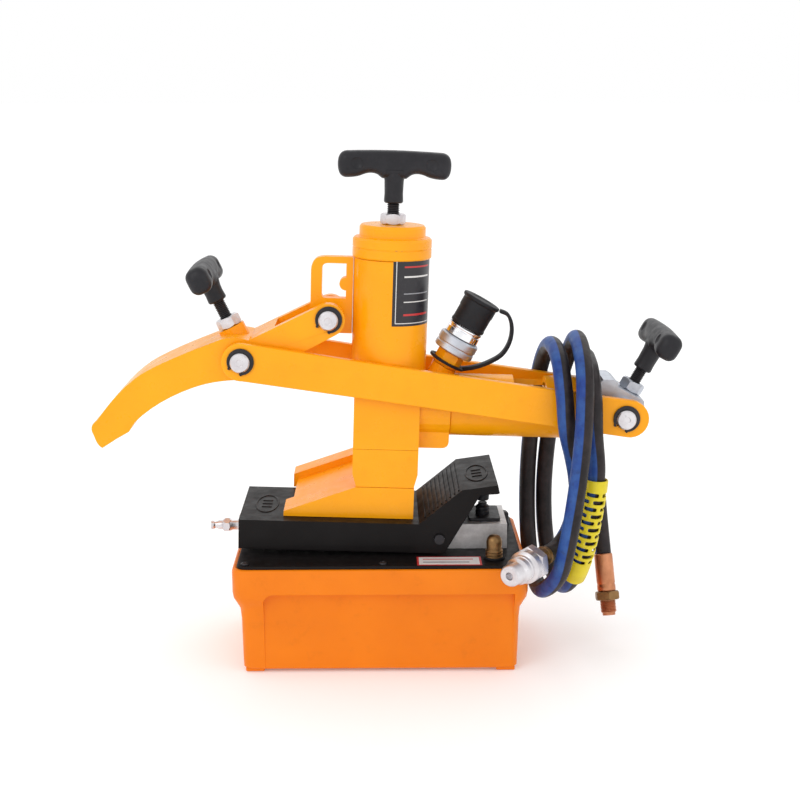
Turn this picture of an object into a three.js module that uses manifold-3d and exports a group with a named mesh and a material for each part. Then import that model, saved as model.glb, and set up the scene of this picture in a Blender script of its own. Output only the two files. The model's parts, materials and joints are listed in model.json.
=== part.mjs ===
// Hydraulic combination bead breaker standing on the treadle of its air-hydraulic foot pump.
// Millimetres, +Z up, +X towards the tail of the clamp arms, origin on the floor under the middle.
import * as THREE from "three";
import { mergeVertices } from "three/addons/utils/BufferGeometryUtils.js";
import Module from "manifold-3d";

const wasm = await Module();
wasm.setup();

// ---------------------------------------------------------------- driving dimensions
const GAP = 0.3;
const CENTRE = new THREE.Vector3(4.1, -5, 0); // brings the middle of the whole over the origin
const LEAN = THREE.MathUtils.degToRad(1.8); // the treadle, and the breaker on it, lean to the tail
const SEAT = new THREE.Vector3(-4.5, 0, 146); // the foot's sole under the cylinder axis

const FOOT = { right: 28.5, near: -37, split1: 3, split2: 66, far: 95, top: 31.3, rise: 7.4 };
const BLOCK = { left: -33, right: 31.5, half: 36, bottom: 31.6, seam: 70, top: 130 };
const TUBE = { outer: 37, bore: 27, bottom: 130.3, top: 255.2 };
const COLLAR = { r: 38.7, top: 275.5 };
const CAP = { r: 32.3, top: 287.5 };
const ROD = { r: 16, bottom: 40.3, top: 224.7 };
const PISTON = { r: 26.5, top: 243 };

const PIN_R = 9.6;
const PIN_HALF = 52;
const CLAW_PIN = new THREE.Vector2(-143, 155.5);
const LINK_PIN = new THREE.Vector2(-59.7, 196.7);
const TAIL_PIN = new THREE.Vector2(231.5, 110);

const ARM = { inner: 37.6, outer: 47.2, half: 17.6, reach: 4.5, bend: new THREE.Vector2(15, 136.2) };
const CLAW = { half: 35, slot: 23, slotFrom: -112, hub: 21, end: 17, play: 1.9 };
const CLAMP = { z: 110, outer: 31, bore: 24.5, rod: 21.5, left: 62, right: 190, gland: 198 };
const HANGER = { left: -78.4, right: -37.3, top: 255, half: 6 };

const SCREW_R = 6;
const SCREW_LEAN = THREE.MathUtils.degToRad(27);
const CLAW_BAR = 87; // handle bar centre above the pin it locks
const TAIL_BAR = 81;

const COUPLER_BASE = new THREE.Vector3(53.5, 0, 145);
const COUPLER_LEAN = THREE.MathUtils.degToRad(27.5);

const TANK = { left: -153, right: 135.5, near: -85, far: 88, rim: 109, draft: 8, wall: 4 };
const LID = { inset: 5, thick: 3 };
const LID_TOP = TANK.rim + GAP + LID.thick;
const PUMP = { left: 57, right: 118, half: 32, top: 138 };
const MOTOR = { z: 128.3, r: 11.5, bore: 8.5, left: -152, right: 40 };
const PEDAL = { left: -143, ramp: 34, near: -52, far: 64, skin: 3, skirt: -29.8, top: -0.35 };
const PIVOT = new THREE.Vector2(54.5, -14.8);

const HOSE_R = 8.5;
const HOSE_STEPS = 50;
const GUARD_FROM = 11; // the guard covers these steps of the hose
const GUARD_TO = 14;

// ---------------------------------------------------------------- materials
function finish(color, roughness, metalness) {
  return new THREE.MeshStandardMaterial({ color, roughness, metalness });
}
const yellowPaint = finish(0xffb10c, 0.4, 0);
const orangePaint = finish(0xf58a1c, 0.4, 0);
const zinc = finish(0xa9a7ad, 0.35, 1);
const steel = finish(0x99a0b0, 0.45, 0.8);
const chrome = finish(0xe6e8ea, 0.1, 1);
const castAluminium = finish(0x9d9a98, 0.6, 0.7);
const brass = finish(0x82654a, 0.4, 0.9);
const copper = finish(0xb9744e, 0.4, 0.9);
const blackSteel = finish(0x1a181b, 0.4, 0.6);
const blackPaint = finish(0x14100f, 0.4, 0);
const blackPlastic = finish(0x26252b, 0.5, 0);
const rubber = finish(0x17181c, 0.7, 0);
const hoseRubber = finish(0x2a1e22, 0.6, 0);
const guardPlastic = finish(0xe1cd32, 0.45, 0);

// ---------------------------------------------------------------- solids
function solid(geometry) {
  const bare = geometry.index ? geometry.toNonIndexed() : geometry.clone();
  bare.deleteAttribute("normal");
  bare.deleteAttribute("uv");
  const merged = mergeVertices(bare, 1e-4);
  const vertProperties = merged.attributes.position.array;
  const triVerts = new Uint32Array(merged.index.array);
  return new wasm.Manifold(new wasm.Mesh({ numProp: 3, vertProperties, triVerts }));
}

function geometryOf(manifold) {
  const mesh = manifold.getMesh();
  const positions = new Float32Array(mesh.numVert * 3);
  for (let i = 0; i < mesh.numVert; i++) {
    positions.set(mesh.vertProperties.subarray(i * mesh.numProp, i * mesh.numProp + 3), i * 3);
  }
  const geometry = new THREE.BufferGeometry();
  geometry.setAttribute("position", new THREE.BufferAttribute(positions, 3));
  geometry.setIndex(new THREE.BufferAttribute(mesh.triVerts, 1));
  geometry.computeVertexNormals();
  return geometry;
}

function box(x0, x1, y0, y1, z0, z1) {
  const geometry = new THREE.BoxGeometry(x1 - x0, y1 - y0, z1 - z0);
  geometry.translate((x0 + x1) / 2, (y0 + y1) / 2, (z0 + z1) / 2);
  return solid(geometry);
}

// A closed outline in X and Z, extruded along Y.
function prism(outline, y0, y1, holes = []) {
  const shape = outline instanceof THREE.Shape ? outline : new THREE.Shape(vectors(outline));
  shape.holes = holes;
  const options = { depth: y1 - y0, bevelEnabled: false, curveSegments: 6 };
  const geometry = new THREE.ExtrudeGeometry(shape, options);
  geometry.rotateX(Math.PI / 2);
  geometry.translate(0, y1, 0);
  return solid(geometry);
}

function vectors(pairs) {
  return pairs.map((p) => (Array.isArray(p) ? new THREE.Vector2(p[0], p[1]) : p));
}

// A profile of [radius, height] pairs turned round an axis that leaves `at` along `along`.
const Y_AXIS = new THREE.Vector3(0, 1, 0);
function turned(profile, sides, at, along) {
  const points = vectors(profile);
  if (profile[0][0] > 0) points.push(points[0].clone());
  const geometry = new THREE.LatheGeometry(points, sides);
  geometry.applyQuaternion(new THREE.Quaternion().setFromUnitVectors(Y_AXIS, along));
  geometry.translate(at.x, at.y, at.z);
  const made = solid(geometry);
  return made.volume() > 0 ? made : flipped(geometry);
}

function flipped(geometry) {
  const index = geometry.index.array;
  for (let i = 0; i < index.length; i += 3) {
    [index[i + 1], index[i + 2]] = [index[i + 2], index[i + 1]];
  }
  return solid(geometry);
}

function rod(r, s0, s1, sides, at, along) {
  return turned([[0, s0], [r, s0], [r, s1], [0, s1]], sides, at, along);
}

function ring(inner, outer, s0, s1, sides, at, along) {
  return turned([[inner, s0], [outer, s0], [outer, s1], [inner, s1]], sides, at, along);
}

const ORIGIN = new THREE.Vector3(0, 0, 0);
const UP = new THREE.Vector3(0, 0, 1);
const ALONG_X = new THREE.Vector3(1, 0, 0);
const ALONG_Y = new THREE.Vector3(0, 1, 0);

function pointOf(pin) {
  return new THREE.Vector3(pin.x, 0, pin.y);
}

// The direction that leans by `angle` from vertical, towards +X when it is positive.
function leaning(angle) {
  return new THREE.Vector3(Math.sin(angle), 0, Math.cos(angle));
}

// ---------------------------------------------------------------- assembly
const assembly = new THREE.Group();
assembly.position.copy(CENTRE);
const breaker = new THREE.Group();
breaker.position.copy(SEAT);
breaker.rotation.y = LEAN;
assembly.add(breaker);

function piece(parent, name, manifold, material) {
  const mesh = new THREE.Mesh(geometryOf(manifold), material);
  mesh.name = name;
  parent.add(mesh);
}

// ---------------------------------------------------------------- pressing foot
const SLOPE = (FOOT.top - 5) / 70.3;
function footStrip(tip, extra, y0, y1) {
  const tipHeight = 5 + (tip + 100) * SLOPE + extra;
  const high = FOOT.top + extra;
  const outline = [[tip, 0], [FOOT.right, 0], [FOOT.right, high], [-29.7, high], [tip, tipHeight]];
  return prism(outline, y0, y1);
}

function footWedge() {
  const near = footStrip(-100, 0, FOOT.near, FOOT.split1);
  const middle = footStrip(-92, 0, FOOT.split1, FOOT.split2);
  const far = footStrip(-96, FOOT.rise, FOOT.split2, FOOT.far);
  return near.add(middle).add(far);
}

function footBlock() {
  const { left, right, half, bottom, seam } = BLOCK;
  const outline = [
    [left, 45], [left + 4, bottom], [right - 3.5, bottom], [right, 45],
    [right, seam - GAP / 2], [left, seam - GAP / 2],
  ];
  return prism(outline, -half, half).subtract(rod(ROD.r + GAP, 40, 80, 24, ORIGIN, UP));
}

piece(breaker, "foot_wedge", footWedge(), yellowPaint);
piece(breaker, "foot_block", footBlock(), yellowPaint);
const pressPiston = rod(PISTON.r, ROD.top, PISTON.top, 28, ORIGIN, UP);
piece(breaker, "press_ram", rod(ROD.r, ROD.bottom, ROD.top, 24, ORIGIN, UP).add(pressPiston), chrome);

// ---------------------------------------------------------------- body and cylinder
function bodyBlock() {
  const block = box(BLOCK.left, BLOCK.right, -BLOCK.half, BLOCK.half, BLOCK.seam + GAP / 2, BLOCK.top);
  return block.subtract(rod(ROD.r + 0.5, 60, 140, 24, ORIGIN, UP));
}

function pressSpring() {
  const turns = 5;
  const z0 = BLOCK.top + 5;
  const rise = ROD.top - z0 - 5;
  const points = [];
  for (let i = 0; i <= turns * 8; i++) {
    const a = (i / 8) * Math.PI * 2;
    points.push(new THREE.Vector3(21.5 * Math.cos(a), 21.5 * Math.sin(a), z0 + (rise * i) / (turns * 8)));
  }
  const wire = new THREE.Shape().absarc(0, 0, 2.2, 0, Math.PI * 2);
  const path = new THREE.CatmullRomCurve3(points);
  const options = { steps: turns * 8, extrudePath: path, curveSegments: 3, bevelEnabled: false };
  return solid(new THREE.ExtrudeGeometry(wire, options));
}

const couplerAxis = leaning(COUPLER_LEAN);
const clampAt = new THREE.Vector3(0, 0, CLAMP.z);

function ramBase() {
  const barrel = rod(33, BLOCK.right + GAP, CLAMP.left - GAP, 28, clampAt, ALONG_X);
  const corner = new THREE.Shape();
  corner.moveTo(BLOCK.right + GAP, 92);
  corner.lineTo(BLOCK.right + GAP, 69.5);
  corner.lineTo(54, 69.5);
  corner.quadraticCurveTo(61.7, 69.5, 61.7, 77);
  corner.lineTo(61.7, 92);
  const port = rod(13, -12, 4.7, 16, COUPLER_BASE, couplerAxis);
  const tubeRoom = rod(CLAMP.outer + GAP, CLAMP.left - GAP, 90, 28, clampAt, ALONG_X);
  const cylinderRoom = rod(TUBE.outer + GAP, BLOCK.top, TUBE.top, 36, ORIGIN, UP);
  return barrel.add(prism(corner, -22, 22)).add(port).subtract(tubeRoom).subtract(cylinderRoom);
}

function hangerBracket() {
  const { left, right, top, half } = HANGER;
  const outline = new THREE.Shape();
  outline.moveTo(right, top);
  outline.lineTo(left + 14, top);
  outline.quadraticCurveTo(left, top, left, top - 14);
  outline.lineTo(left, 204);
  outline.absarc(LINK_PIN.x, LINK_PIN.y, CLAW.end, Math.PI * 0.95, Math.PI * 1.5, false);
  outline.lineTo(right, LINK_PIN.y - CLAW.end);
  const window = new THREE.Path();
  window.moveTo(-63.6, 214.3);
  window.quadraticCurveTo(-67.6, 214.3, -67.6, 218.3);
  window.lineTo(-67.6, 242.5);
  window.quadraticCurveTo(-67.6, 248.5, -61.6, 248.5);
  window.lineTo(-44, 248.5);
  window.lineTo(-44, 235);
  window.absarc(-44, 228.5, 6.5, Math.PI / 2, Math.PI * 1.5, false);
  window.lineTo(-44, 214.3);
  const bore = rod(PIN_R + GAP, -20, 20, 20, pointOf(LINK_PIN), ALONG_Y);
  return prism(outline, -half, half, [window]).subtract(bore);
}

piece(breaker, "body_block", bodyBlock(), yellowPaint);
const tubeRing = ring(TUBE.bore, TUBE.outer, TUBE.bottom, TUBE.top, 36, ORIGIN, UP);
piece(breaker, "cylinder_tube", tubeRing, yellowPaint);
piece(breaker, "press_spring", pressSpring(), blackSteel);
const capProfile = [
  [SCREW_R + GAP, TUBE.top + GAP], [COLLAR.r - 1.5, TUBE.top + GAP], [COLLAR.r, TUBE.top + 2],
  [COLLAR.r, COLLAR.top - 2], [COLLAR.r - 2, COLLAR.top], [CAP.r, COLLAR.top], [CAP.r, CAP.top - 2],
  [CAP.r - 2, CAP.top], [SCREW_R + GAP, CAP.top],
];
piece(breaker, "cylinder_cap", turned(capProfile, 36, ORIGIN, UP), yellowPaint);
piece(breaker, "ram_base", ramBase(), yellowPaint);
piece(breaker, "hanger_bracket", hangerBracket(), yellowPaint);

// ---------------------------------------------------------------- clamp ram
function clampTube() {
  const tube = ring(CLAMP.bore, CLAMP.outer, CLAMP.left, CLAMP.right, 28, clampAt, ALONG_X);
  return tube.subtract(box(124, 156, -20, 20, CLAMP.z + 14, CLAMP.z + 40));
}

piece(breaker, "clamp_tube", clampTube(), yellowPaint);
const glandRing = ring(CLAMP.rod + 0.4, CLAMP.outer, CLAMP.right + GAP, CLAMP.gland, 28, clampAt, ALONG_X);
piece(breaker, "clamp_gland", glandRing, yellowPaint);
const clampPiston = rod(CLAMP.bore - GAP, 66, 80, 24, clampAt, ALONG_X);
piece(breaker, "clamp_ram", rod(CLAMP.rod, 75, 204, 24, clampAt, ALONG_X).add(clampPiston), chrome);

const tailAxis = leaning(SCREW_LEAN);
const clawAxis = leaning(-SCREW_LEAN);
const TAIL_FACE = 21.5; // distance from the tail pin to the face that the locknut bears on

function trunnionBlock() {
  const outline = [
    [204.3, 90], [236, 88], [250, 97], [254, 112], [252, 126], [231, 137.5], [221, 144], [211, 144],
    [204.3, 136],
  ];
  const block = prism(outline, -24, 24);
  const boss = rod(13, 0, TAIL_FACE, 16, pointOf(TAIL_PIN), tailAxis);
  const pinBore = rod(PIN_R + GAP, -60, 60, 20, pointOf(TAIL_PIN), ALONG_Y);
  const screwBore = rod(SCREW_R + 0.5, 5, 60, 12, pointOf(TAIL_PIN), tailAxis);
  const nutSide = box(226, 300, -40, 40, 100, 200);
  const nutRoom = rod(40, TAIL_FACE, 60, 24, pointOf(TAIL_PIN), tailAxis).intersect(nutSide);
  const barrel = rod(17, -37.2, 37.2, 20, pointOf(TAIL_PIN), ALONG_Y);
  return block.add(boss).subtract(nutRoom).add(barrel).subtract(pinBore).subtract(screwBore);
}

piece(breaker, "trunnion_block", trunnionBlock(), steel);

// ---------------------------------------------------------------- arms, claw, pins
function armPlate(y0, y1) {
  const down = new THREE.Vector2().subVectors(ARM.bend, CLAW_PIN).normalize();
  const level = new THREE.Vector2().subVectors(TAIL_PIN, ARM.bend).normalize();
  const h = ARM.half;
  const startAngle = Math.atan2(down.y, down.x);
  const endAngle = Math.atan2(level.y, level.x);
  const outline = new THREE.Shape();
  const round = h + 0.6;
  const quarter = Math.PI / 2;
  outline.absarc(CLAW_PIN.x, CLAW_PIN.y, round, startAngle + quarter, startAngle + 3 * quarter, false);
  outline.lineTo(ARM.bend.x, ARM.bend.y - h);
  outline.absarc(TAIL_PIN.x + ARM.reach, TAIL_PIN.y, round, endAngle - quarter, endAngle + quarter, false);
  outline.lineTo(ARM.bend.x, ARM.bend.y + h);
  const plate = prism(outline, y0, y1);
  const clawBore = rod(PIN_R + GAP, -60, 60, 20, pointOf(CLAW_PIN), ALONG_Y);
  const tailBore = rod(PIN_R + GAP, -60, 60, 20, pointOf(TAIL_PIN), ALONG_Y);
  return plate.subtract(clawBore).subtract(tailBore);
}

function clawSolid() {
  const toLink = new THREE.Vector2().subVectors(LINK_PIN, CLAW_PIN);
  const a = toLink.angle();
  const outline = new THREE.Shape();
  outline.moveTo(-277.9, 64);
  outline.quadraticCurveTo(-283, 66, -286, 76);
  outline.quadraticCurveTo(-292, 86, -283, 91.5);
  outline.quadraticCurveTo(-262, 123, -240, 138.5);
  outline.quadraticCurveTo(-220, 152, -162.9, 175.2);
  outline.quadraticCurveTo(-152, 179, -136, 175.3);
  outline.absarc(LINK_PIN.x, LINK_PIN.y, CLAW.end - 1, a + Math.PI / 2, a - Math.PI / 2, true);
  outline.absarc(CLAW_PIN.x, CLAW_PIN.y, CLAW.hub, a - Math.PI / 2 + 0.15, -Math.PI * 0.6, true);
  outline.quadraticCurveTo(-171, 134, -188.8, 127.2);
  outline.quadraticCurveTo(-224, 113.5, -246, 91);
  outline.lineTo(-252, 81);
  outline.lineTo(-264.7, 73.2);
  const slab = prism(outline, -CLAW.half, CLAW.half);
  const slot = box(CLAW.slotFrom, 0, -CLAW.slot, CLAW.slot, 100, 300);
  const boss = rod(13.5, 12, 30, 16, pointOf(CLAW_PIN), clawAxis);
  const clawBore = rod(PIN_R + CLAW.play, -60, 60, 20, pointOf(CLAW_PIN), ALONG_Y);
  const linkBore = rod(PIN_R + GAP, -60, 60, 20, pointOf(LINK_PIN), ALONG_Y);
  const screwBore = rod(SCREW_R + 0.5, 5, 60, 12, pointOf(CLAW_PIN), clawAxis);
  return slab.subtract(slot).add(boss).subtract(clawBore).subtract(linkBore).subtract(screwBore);
}

// An external circlip: a flat ring with a gap, round a pin along Y, between y0 and y1.
function circlip(pin, y0, y1) {
  const whole = ring(PIN_R + GAP, 14, y0, y1, 16, pointOf(pin), ALONG_Y);
  return whole.subtract(box(pin.x - 8, pin.x - 2, -80, 80, pin.y - 30, pin.y - 5));
}

piece(breaker, "arm_near", armPlate(-ARM.outer, -ARM.inner), yellowPaint);
piece(breaker, "arm_far", armPlate(ARM.inner, ARM.outer), yellowPaint);
piece(breaker, "claw", clawSolid(), yellowPaint);
piece(breaker, "claw_pin", rod(PIN_R, -PIN_HALF, PIN_HALF, 20, pointOf(CLAW_PIN), ALONG_Y), zinc);
piece(breaker, "link_pin", rod(PIN_R, -40, 40, 20, pointOf(LINK_PIN), ALONG_Y), zinc);
piece(breaker, "tail_pin", rod(PIN_R, -PIN_HALF, PIN_HALF, 20, pointOf(TAIL_PIN), ALONG_Y), zinc);
const circlipPlaces = [
  ["claw", CLAW_PIN, ARM.outer],
  ["link", LINK_PIN, CLAW.half],
  ["tail", TAIL_PIN, ARM.outer],
];
for (const [name, pin, face] of circlipPlaces) {
  piece(breaker, name + "_circlip_near", circlip(pin, -face - 2.3, -face - GAP), blackSteel);
  piece(breaker, name + "_circlip_far", circlip(pin, face + GAP, face + 2.3), blackSteel);
}

// ---------------------------------------------------------------- locking screws with T-handles
// Everything is laid out along the screw's axis from `at`; s is the distance from it.
function hexNut(across, s0, s1, at, along) {
  const nut = rod(across / Math.sqrt(3), s0, s1, 6, at, along);
  return nut.subtract(rod(SCREW_R + GAP, s0 - 5, s1 + 5, 12, at, along));
}

// The moulded bar has a crowned top and a finger scallop under each side of the hub.
function handle(at, along, hubFrom, hubTo, barMid, alongBar) {
  const outline = new THREE.Shape();
  outline.moveTo(-54.5, -4);
  outline.quadraticCurveTo(-56, 12, -49, 12);
  outline.quadraticCurveTo(0, 16, 49, 12);
  outline.quadraticCurveTo(56, 12, 54.5, -4);
  outline.quadraticCurveTo(54, -13, 46, -13);
  outline.lineTo(33, -12);
  outline.quadraticCurveTo(22, -3, 13, -12);
  outline.lineTo(-13, -12);
  outline.quadraticCurveTo(-22, -3, -33, -12);
  outline.lineTo(-46, -13);
  outline.quadraticCurveTo(-54, -13, -54.5, -4);
  const bevel = { bevelEnabled: true, bevelThickness: 3, bevelSize: 3, bevelOffset: -3, bevelSegments: 1 };
  const geometry = new THREE.ExtrudeGeometry(outline, { depth: 16, curveSegments: 4, ...bevel });
  geometry.translate(0, 0, -8);
  const across = new THREE.Vector3().crossVectors(alongBar, along);
  const basis = new THREE.Matrix4().makeBasis(alongBar, along, across);
  geometry.applyMatrix4(basis);
  const middle = at.clone().addScaledVector(along, barMid);
  geometry.translate(middle.x, middle.y, middle.z);
  return solid(geometry).add(rod(9.5, hubFrom, hubTo, 14, at, along));
}

function lockingScrew(name, at, along, s, alongBar) {
  piece(breaker, name + "_pad", rod(s.padR, s.pad, s.pad + s.padLong, 12, at, along), zinc);
  const screwFrom = s.pad + s.padLong + GAP;
  piece(breaker, name + "_screw", rod(SCREW_R, screwFrom, s.hub - GAP, 12, at, along), blackSteel);
  piece(breaker, name + "_nut", hexNut(21.5, s.nut, s.nut + 10.4, at, along), zinc);
  piece(breaker, name + "_handle", handle(at, along, s.hub, s.bar - 8, s.bar, alongBar), blackPlastic);
}

const top = { pad: 245.3, padR: 14, padLong: 4.4, nut: CAP.top + GAP, hub: 308, bar: 344.5 };
lockingScrew("top", ORIGIN, UP, top, ALONG_X);
const clawLock = { pad: 10.2, padR: 5.8, padLong: 3, nut: 30 + GAP, hub: 58, bar: CLAW_BAR };
lockingScrew("claw", pointOf(CLAW_PIN), clawAxis, clawLock, ALONG_Y);
const tailLock = { pad: 10.2, padR: 5.8, padLong: 3, nut: TAIL_FACE + GAP, hub: 46, bar: TAIL_BAR };
lockingScrew("tail", pointOf(TAIL_PIN), tailAxis, tailLock, ALONG_Y);

// ---------------------------------------------------------------- hydraulic coupler half
const couplerStack = [
  ["coupler_adapter", [[0, 5], [14.2, 5], [14.2, 20], [0, 20]], 6, yellowPaint],
  ["coupler_collar", [[0, 20.3], [20, 20.3], [20.5, 22], [20.5, 35.5], [19, 37], [0, 37]], 24, steel],
  ["coupler_sleeve", [[0, 37.3], [18, 37.3], [18, 48.6], [14.6, 48.6], [14.6, 74], [0, 74]], 20, chrome],
  ["dust_cap", [
    [15.2, 49], [17.8, 49], [17.8, 76.5], [19.6, 78], [19.6, 80.5], [0, 80.5], [0, 75], [15.2, 75],
  ], 24, rubber],
];
for (const [name, profile, sides, material] of couplerStack) {
  piece(breaker, name, turned(profile, sides, COUPLER_BASE, couplerAxis), material);
}

// A flat band: a centre line in X and Z, given a thickness, `wide` across Y.
function band(line, thick, wide) {
  const points = new THREE.SplineCurve(vectors(line)).getPoints(14);
  const left = [];
  const right = [];
  points.forEach((p, i) => {
    const before = points[Math.max(i - 1, 0)];
    const after = points[Math.min(i + 1, points.length - 1)];
    const side = new THREE.Vector2(before.y - after.y, after.x - before.x).setLength(thick / 2);
    left.push(p.clone().add(side));
    right.unshift(p.clone().sub(side));
  });
  return prism([...left, ...right], -wide / 2, wide / 2);
}

const strapLine = [
  [108.5, 205.5], [116, 202], [120.5, 191], [119.5, 176], [112.5, 162.5], [100, 154],
  [86, 148.5], [72.5, 146],
];
const strapRing = ring(14.9, 19, 8, 11, 18, COUPLER_BASE, couplerAxis);
piece(breaker, "cap_strap", band(strapLine, 2.6, 11).add(strapRing), rubber);

// ---------------------------------------------------------------- treadle pedal
function pedalSolid() {
  const { left, ramp, near, far, skin, skirt, top: flat } = PEDAL;
  const rampTop = [75, 35.5];
  const tail = [110, 41.5];
  const topSkin = [
    [left, flat], [left, flat - skin], [ramp + 1, flat - skin], [rampTop[0] + 1, rampTop[1] - skin],
    [tail[0], tail[1] - 9], [tail[0] + 2, tail[1] - 8], tail, rampTop, [ramp, flat],
  ];
  const side = [
    [left, skirt], [60, skirt], [93, 31], [tail[0], tail[1] - 9], [75, 33.5], [34, -2.5], [left, -2.5],
  ];
  const bore = rod(5.3, near - 10, far + 10, 20, pointOf(PIVOT), ALONG_Y);
  const notch = box(left - 5, left + 8, -17, 17, skirt - 5, -4.6);
  return prism(topSkin, near, far)
    .add(prism(side, near, near + skin))
    .add(prism(side, far - skin, far))
    .add(box(left, left + skin, near, far, skirt, flat - 1))
    .subtract(bore)
    .subtract(notch);
}

piece(breaker, "pedal", pedalSolid(), blackPaint);
const pivotAt = pointOf(PIVOT);
piece(breaker, "pedal_pin", rod(5, PEDAL.near - 3, PEDAL.far + 3, 20, pivotAt, ALONG_Y), blackSteel);

// ---------------------------------------------------------------- foot pump
// A stack of rounded rectangles: levels are [z, inset from the tank's rim].
function loft(levels, cornerRadius) {
  const cornerSteps = 3;
  const rows = levels.map(([z, inset]) => {
    const { left, right, near, far } = TANK;
    const r = Math.max(cornerRadius - inset / 2, 2);
    const corners = [[right - inset - r, far - inset - r], [left + inset + r, far - inset - r],
      [left + inset + r, near + inset + r], [right - inset - r, near + inset + r]];
    return corners.flatMap(([cx, cy], i) => {
      const arc = [];
      for (let k = 0; k <= cornerSteps; k++) {
        const a = (i + k / cornerSteps) * (Math.PI / 2);
        arc.push([cx + r * Math.cos(a), cy + r * Math.sin(a), z]);
      }
      return arc;
    });
  });
  const n = rows[0].length;
  const index = [];
  for (let j = 0; j + 1 < rows.length; j++) {
    for (let i = 0; i < n; i++) {
      const a = j * n + i;
      const b = j * n + ((i + 1) % n);
      index.push(a, b, b + n, a, b + n, a + n);
    }
  }
  const last = (rows.length - 1) * n;
  for (let i = 1; i + 1 < n; i++) {
    index.push(0, i + 1, i);
    index.push(last, last + i, last + i + 1);
  }
  const geometry = new THREE.BufferGeometry();
  geometry.setAttribute("position", new THREE.BufferAttribute(new Float32Array(rows.flat(2)), 3));
  geometry.setIndex(index);
  return solid(geometry);
}

function tankSolid() {
  const { left, right, near, far, rim, draft, wall } = TANK;
  const outer = loft([[3, draft + 3], [55, draft], [66, draft - 1], [78, 1], [84, 0], [rim, 0]], 12);
  const floorLevel = [3 + wall, draft + 3 + wall];
  const inner = loft([floorLevel, [55, draft + wall], [78, wall + 4], [rim + 9, wall + 8]], 12);
  const feet = box(left + 11, right - 11, near + 11, far - 11, 0, 5)
    .subtract(box(left + 30, right - 30, near - 20, far + 20, -5, 3))
    .subtract(box(left - 20, right + 20, near + 40, far - 40, -5, 3));
  const panelShape = new THREE.Shape();
  panelShape.moveTo(-121, -1);
  panelShape.lineTo(-121, 74);
  panelShape.quadraticCurveTo(-121, 84, -111, 84);
  panelShape.lineTo(right + 40, 84);
  panelShape.lineTo(right + 40, -1);
  const panelEnd = box(right - 22, right + 60, near - 30, 0, -5, 90);
  const panel = prism(panelShape, near - 20, near + draft - 2.5).subtract(panelEnd);
  return outer.add(feet).subtract(inner).subtract(panel);
}

piece(assembly, "tank", tankSolid(), orangePaint);
const lidBottom = TANK.rim + GAP;
const lidX = [TANK.left + LID.inset, TANK.right - LID.inset];
const lidY = [TANK.near + LID.inset, TANK.far - LID.inset];
const lidBox = box(...lidX, ...lidY, lidBottom, LID_TOP);
const pickupAt = new THREE.Vector3(86, 12, 0);
piece(assembly, "tank_lid", lidBox.subtract(rod(6, 90, 130, 20, pickupAt, UP)), blackPaint);

const baseZ = LID_TOP + GAP;
const pumpCasting = box(PUMP.left, PUMP.right, -PUMP.half, PUMP.half, baseZ, PUMP.top);
const pedalEar = box(41, PUMP.left + 1, -28, 28, baseZ, 136);
const pivotWorld = pointOf(PIVOT).applyAxisAngle(Y_AXIS, LEAN).add(SEAT);
const earBore = rod(5.4, -60, 60, 20, pivotWorld, ALONG_Y);
piece(assembly, "pump_body", pumpCasting.add(pedalEar.subtract(earBore)), castAluminium);
const strainer = rod(5, 34, LID_TOP, 16, pickupAt, UP).add(rod(14, 14, 34, 20, pickupAt, UP));
piece(assembly, "oil_strainer", strainer, brass);
const valvePlate = box(80, 112, -20, 24, PUMP.top + GAP, PUMP.top + 3.5);
const valveAt = new THREE.Vector3(95, -6, PUMP.top + 3 + GAP);
const valveStem = turned([[0, -1], [7, -1], [7, 8], [4.5, 9], [4.5, 12], [0, 12]], 20, valveAt, UP);
piece(assembly, "release_valve", valvePlate.add(valveStem), blackPlastic);
const knobProfile = [[0, 14.5], [6.2, 14.5], [6.6, 20], [5, 22], [0, 22]];
piece(assembly, "release_knob", turned(knobProfile, 20, valveAt, UP), blackPlastic);

const motorAt = new THREE.Vector3(0, 0, MOTOR.z);
const barrelProfile = [
  [MOTOR.bore, MOTOR.left + 12], [MOTOR.bore, MOTOR.right], [MOTOR.r, MOTOR.right], [MOTOR.r, MOTOR.left],
  [3.5, MOTOR.left], [3.5, MOTOR.left + 12],
];
piece(assembly, "air_motor_barrel", turned(barrelProfile, 18, motorAt, ALONG_X), castAluminium);
const pistonRod = rod(3.2, -100, 10, 10, motorAt, ALONG_X);
const airPiston = rod(MOTOR.bore - GAP, -110, -94, 16, motorAt, ALONG_X).add(pistonRod);
piece(assembly, "air_piston", airPiston, steel);
const nippleProfile = [
  [0, -181], [4.4, -181], [4.4, -178], [3.4, -176], [4.6, -173], [4.6, -169], [6.6, -168], [6.6, -160],
  [5.2, -159], [5.2, MOTOR.left - GAP], [0, MOTOR.left - GAP],
];
piece(assembly, "air_nipple", turned(nippleProfile, 14, motorAt, ALONG_X), zinc);

const breatherAt = new THREE.Vector3(103, -60, baseZ);
const breatherProfile = [[0, 0], [8.6, 0], [8.6, 9], [7.4, 10], [7.8, 17], [6.4, 22], [3, 24], [0, 24]];
piece(assembly, "breather", turned(breatherProfile, 16, breatherAt, UP), brass);
const fillerAt = new THREE.Vector3(119, 48, baseZ);
const fillerProfile = [[0, 0], [8.4, 0], [8.4, 12], [7, 14.5], [0, 14.5]];
piece(assembly, "filler_cap", turned(fillerProfile, 16, fillerAt, UP), blackPlastic);

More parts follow.
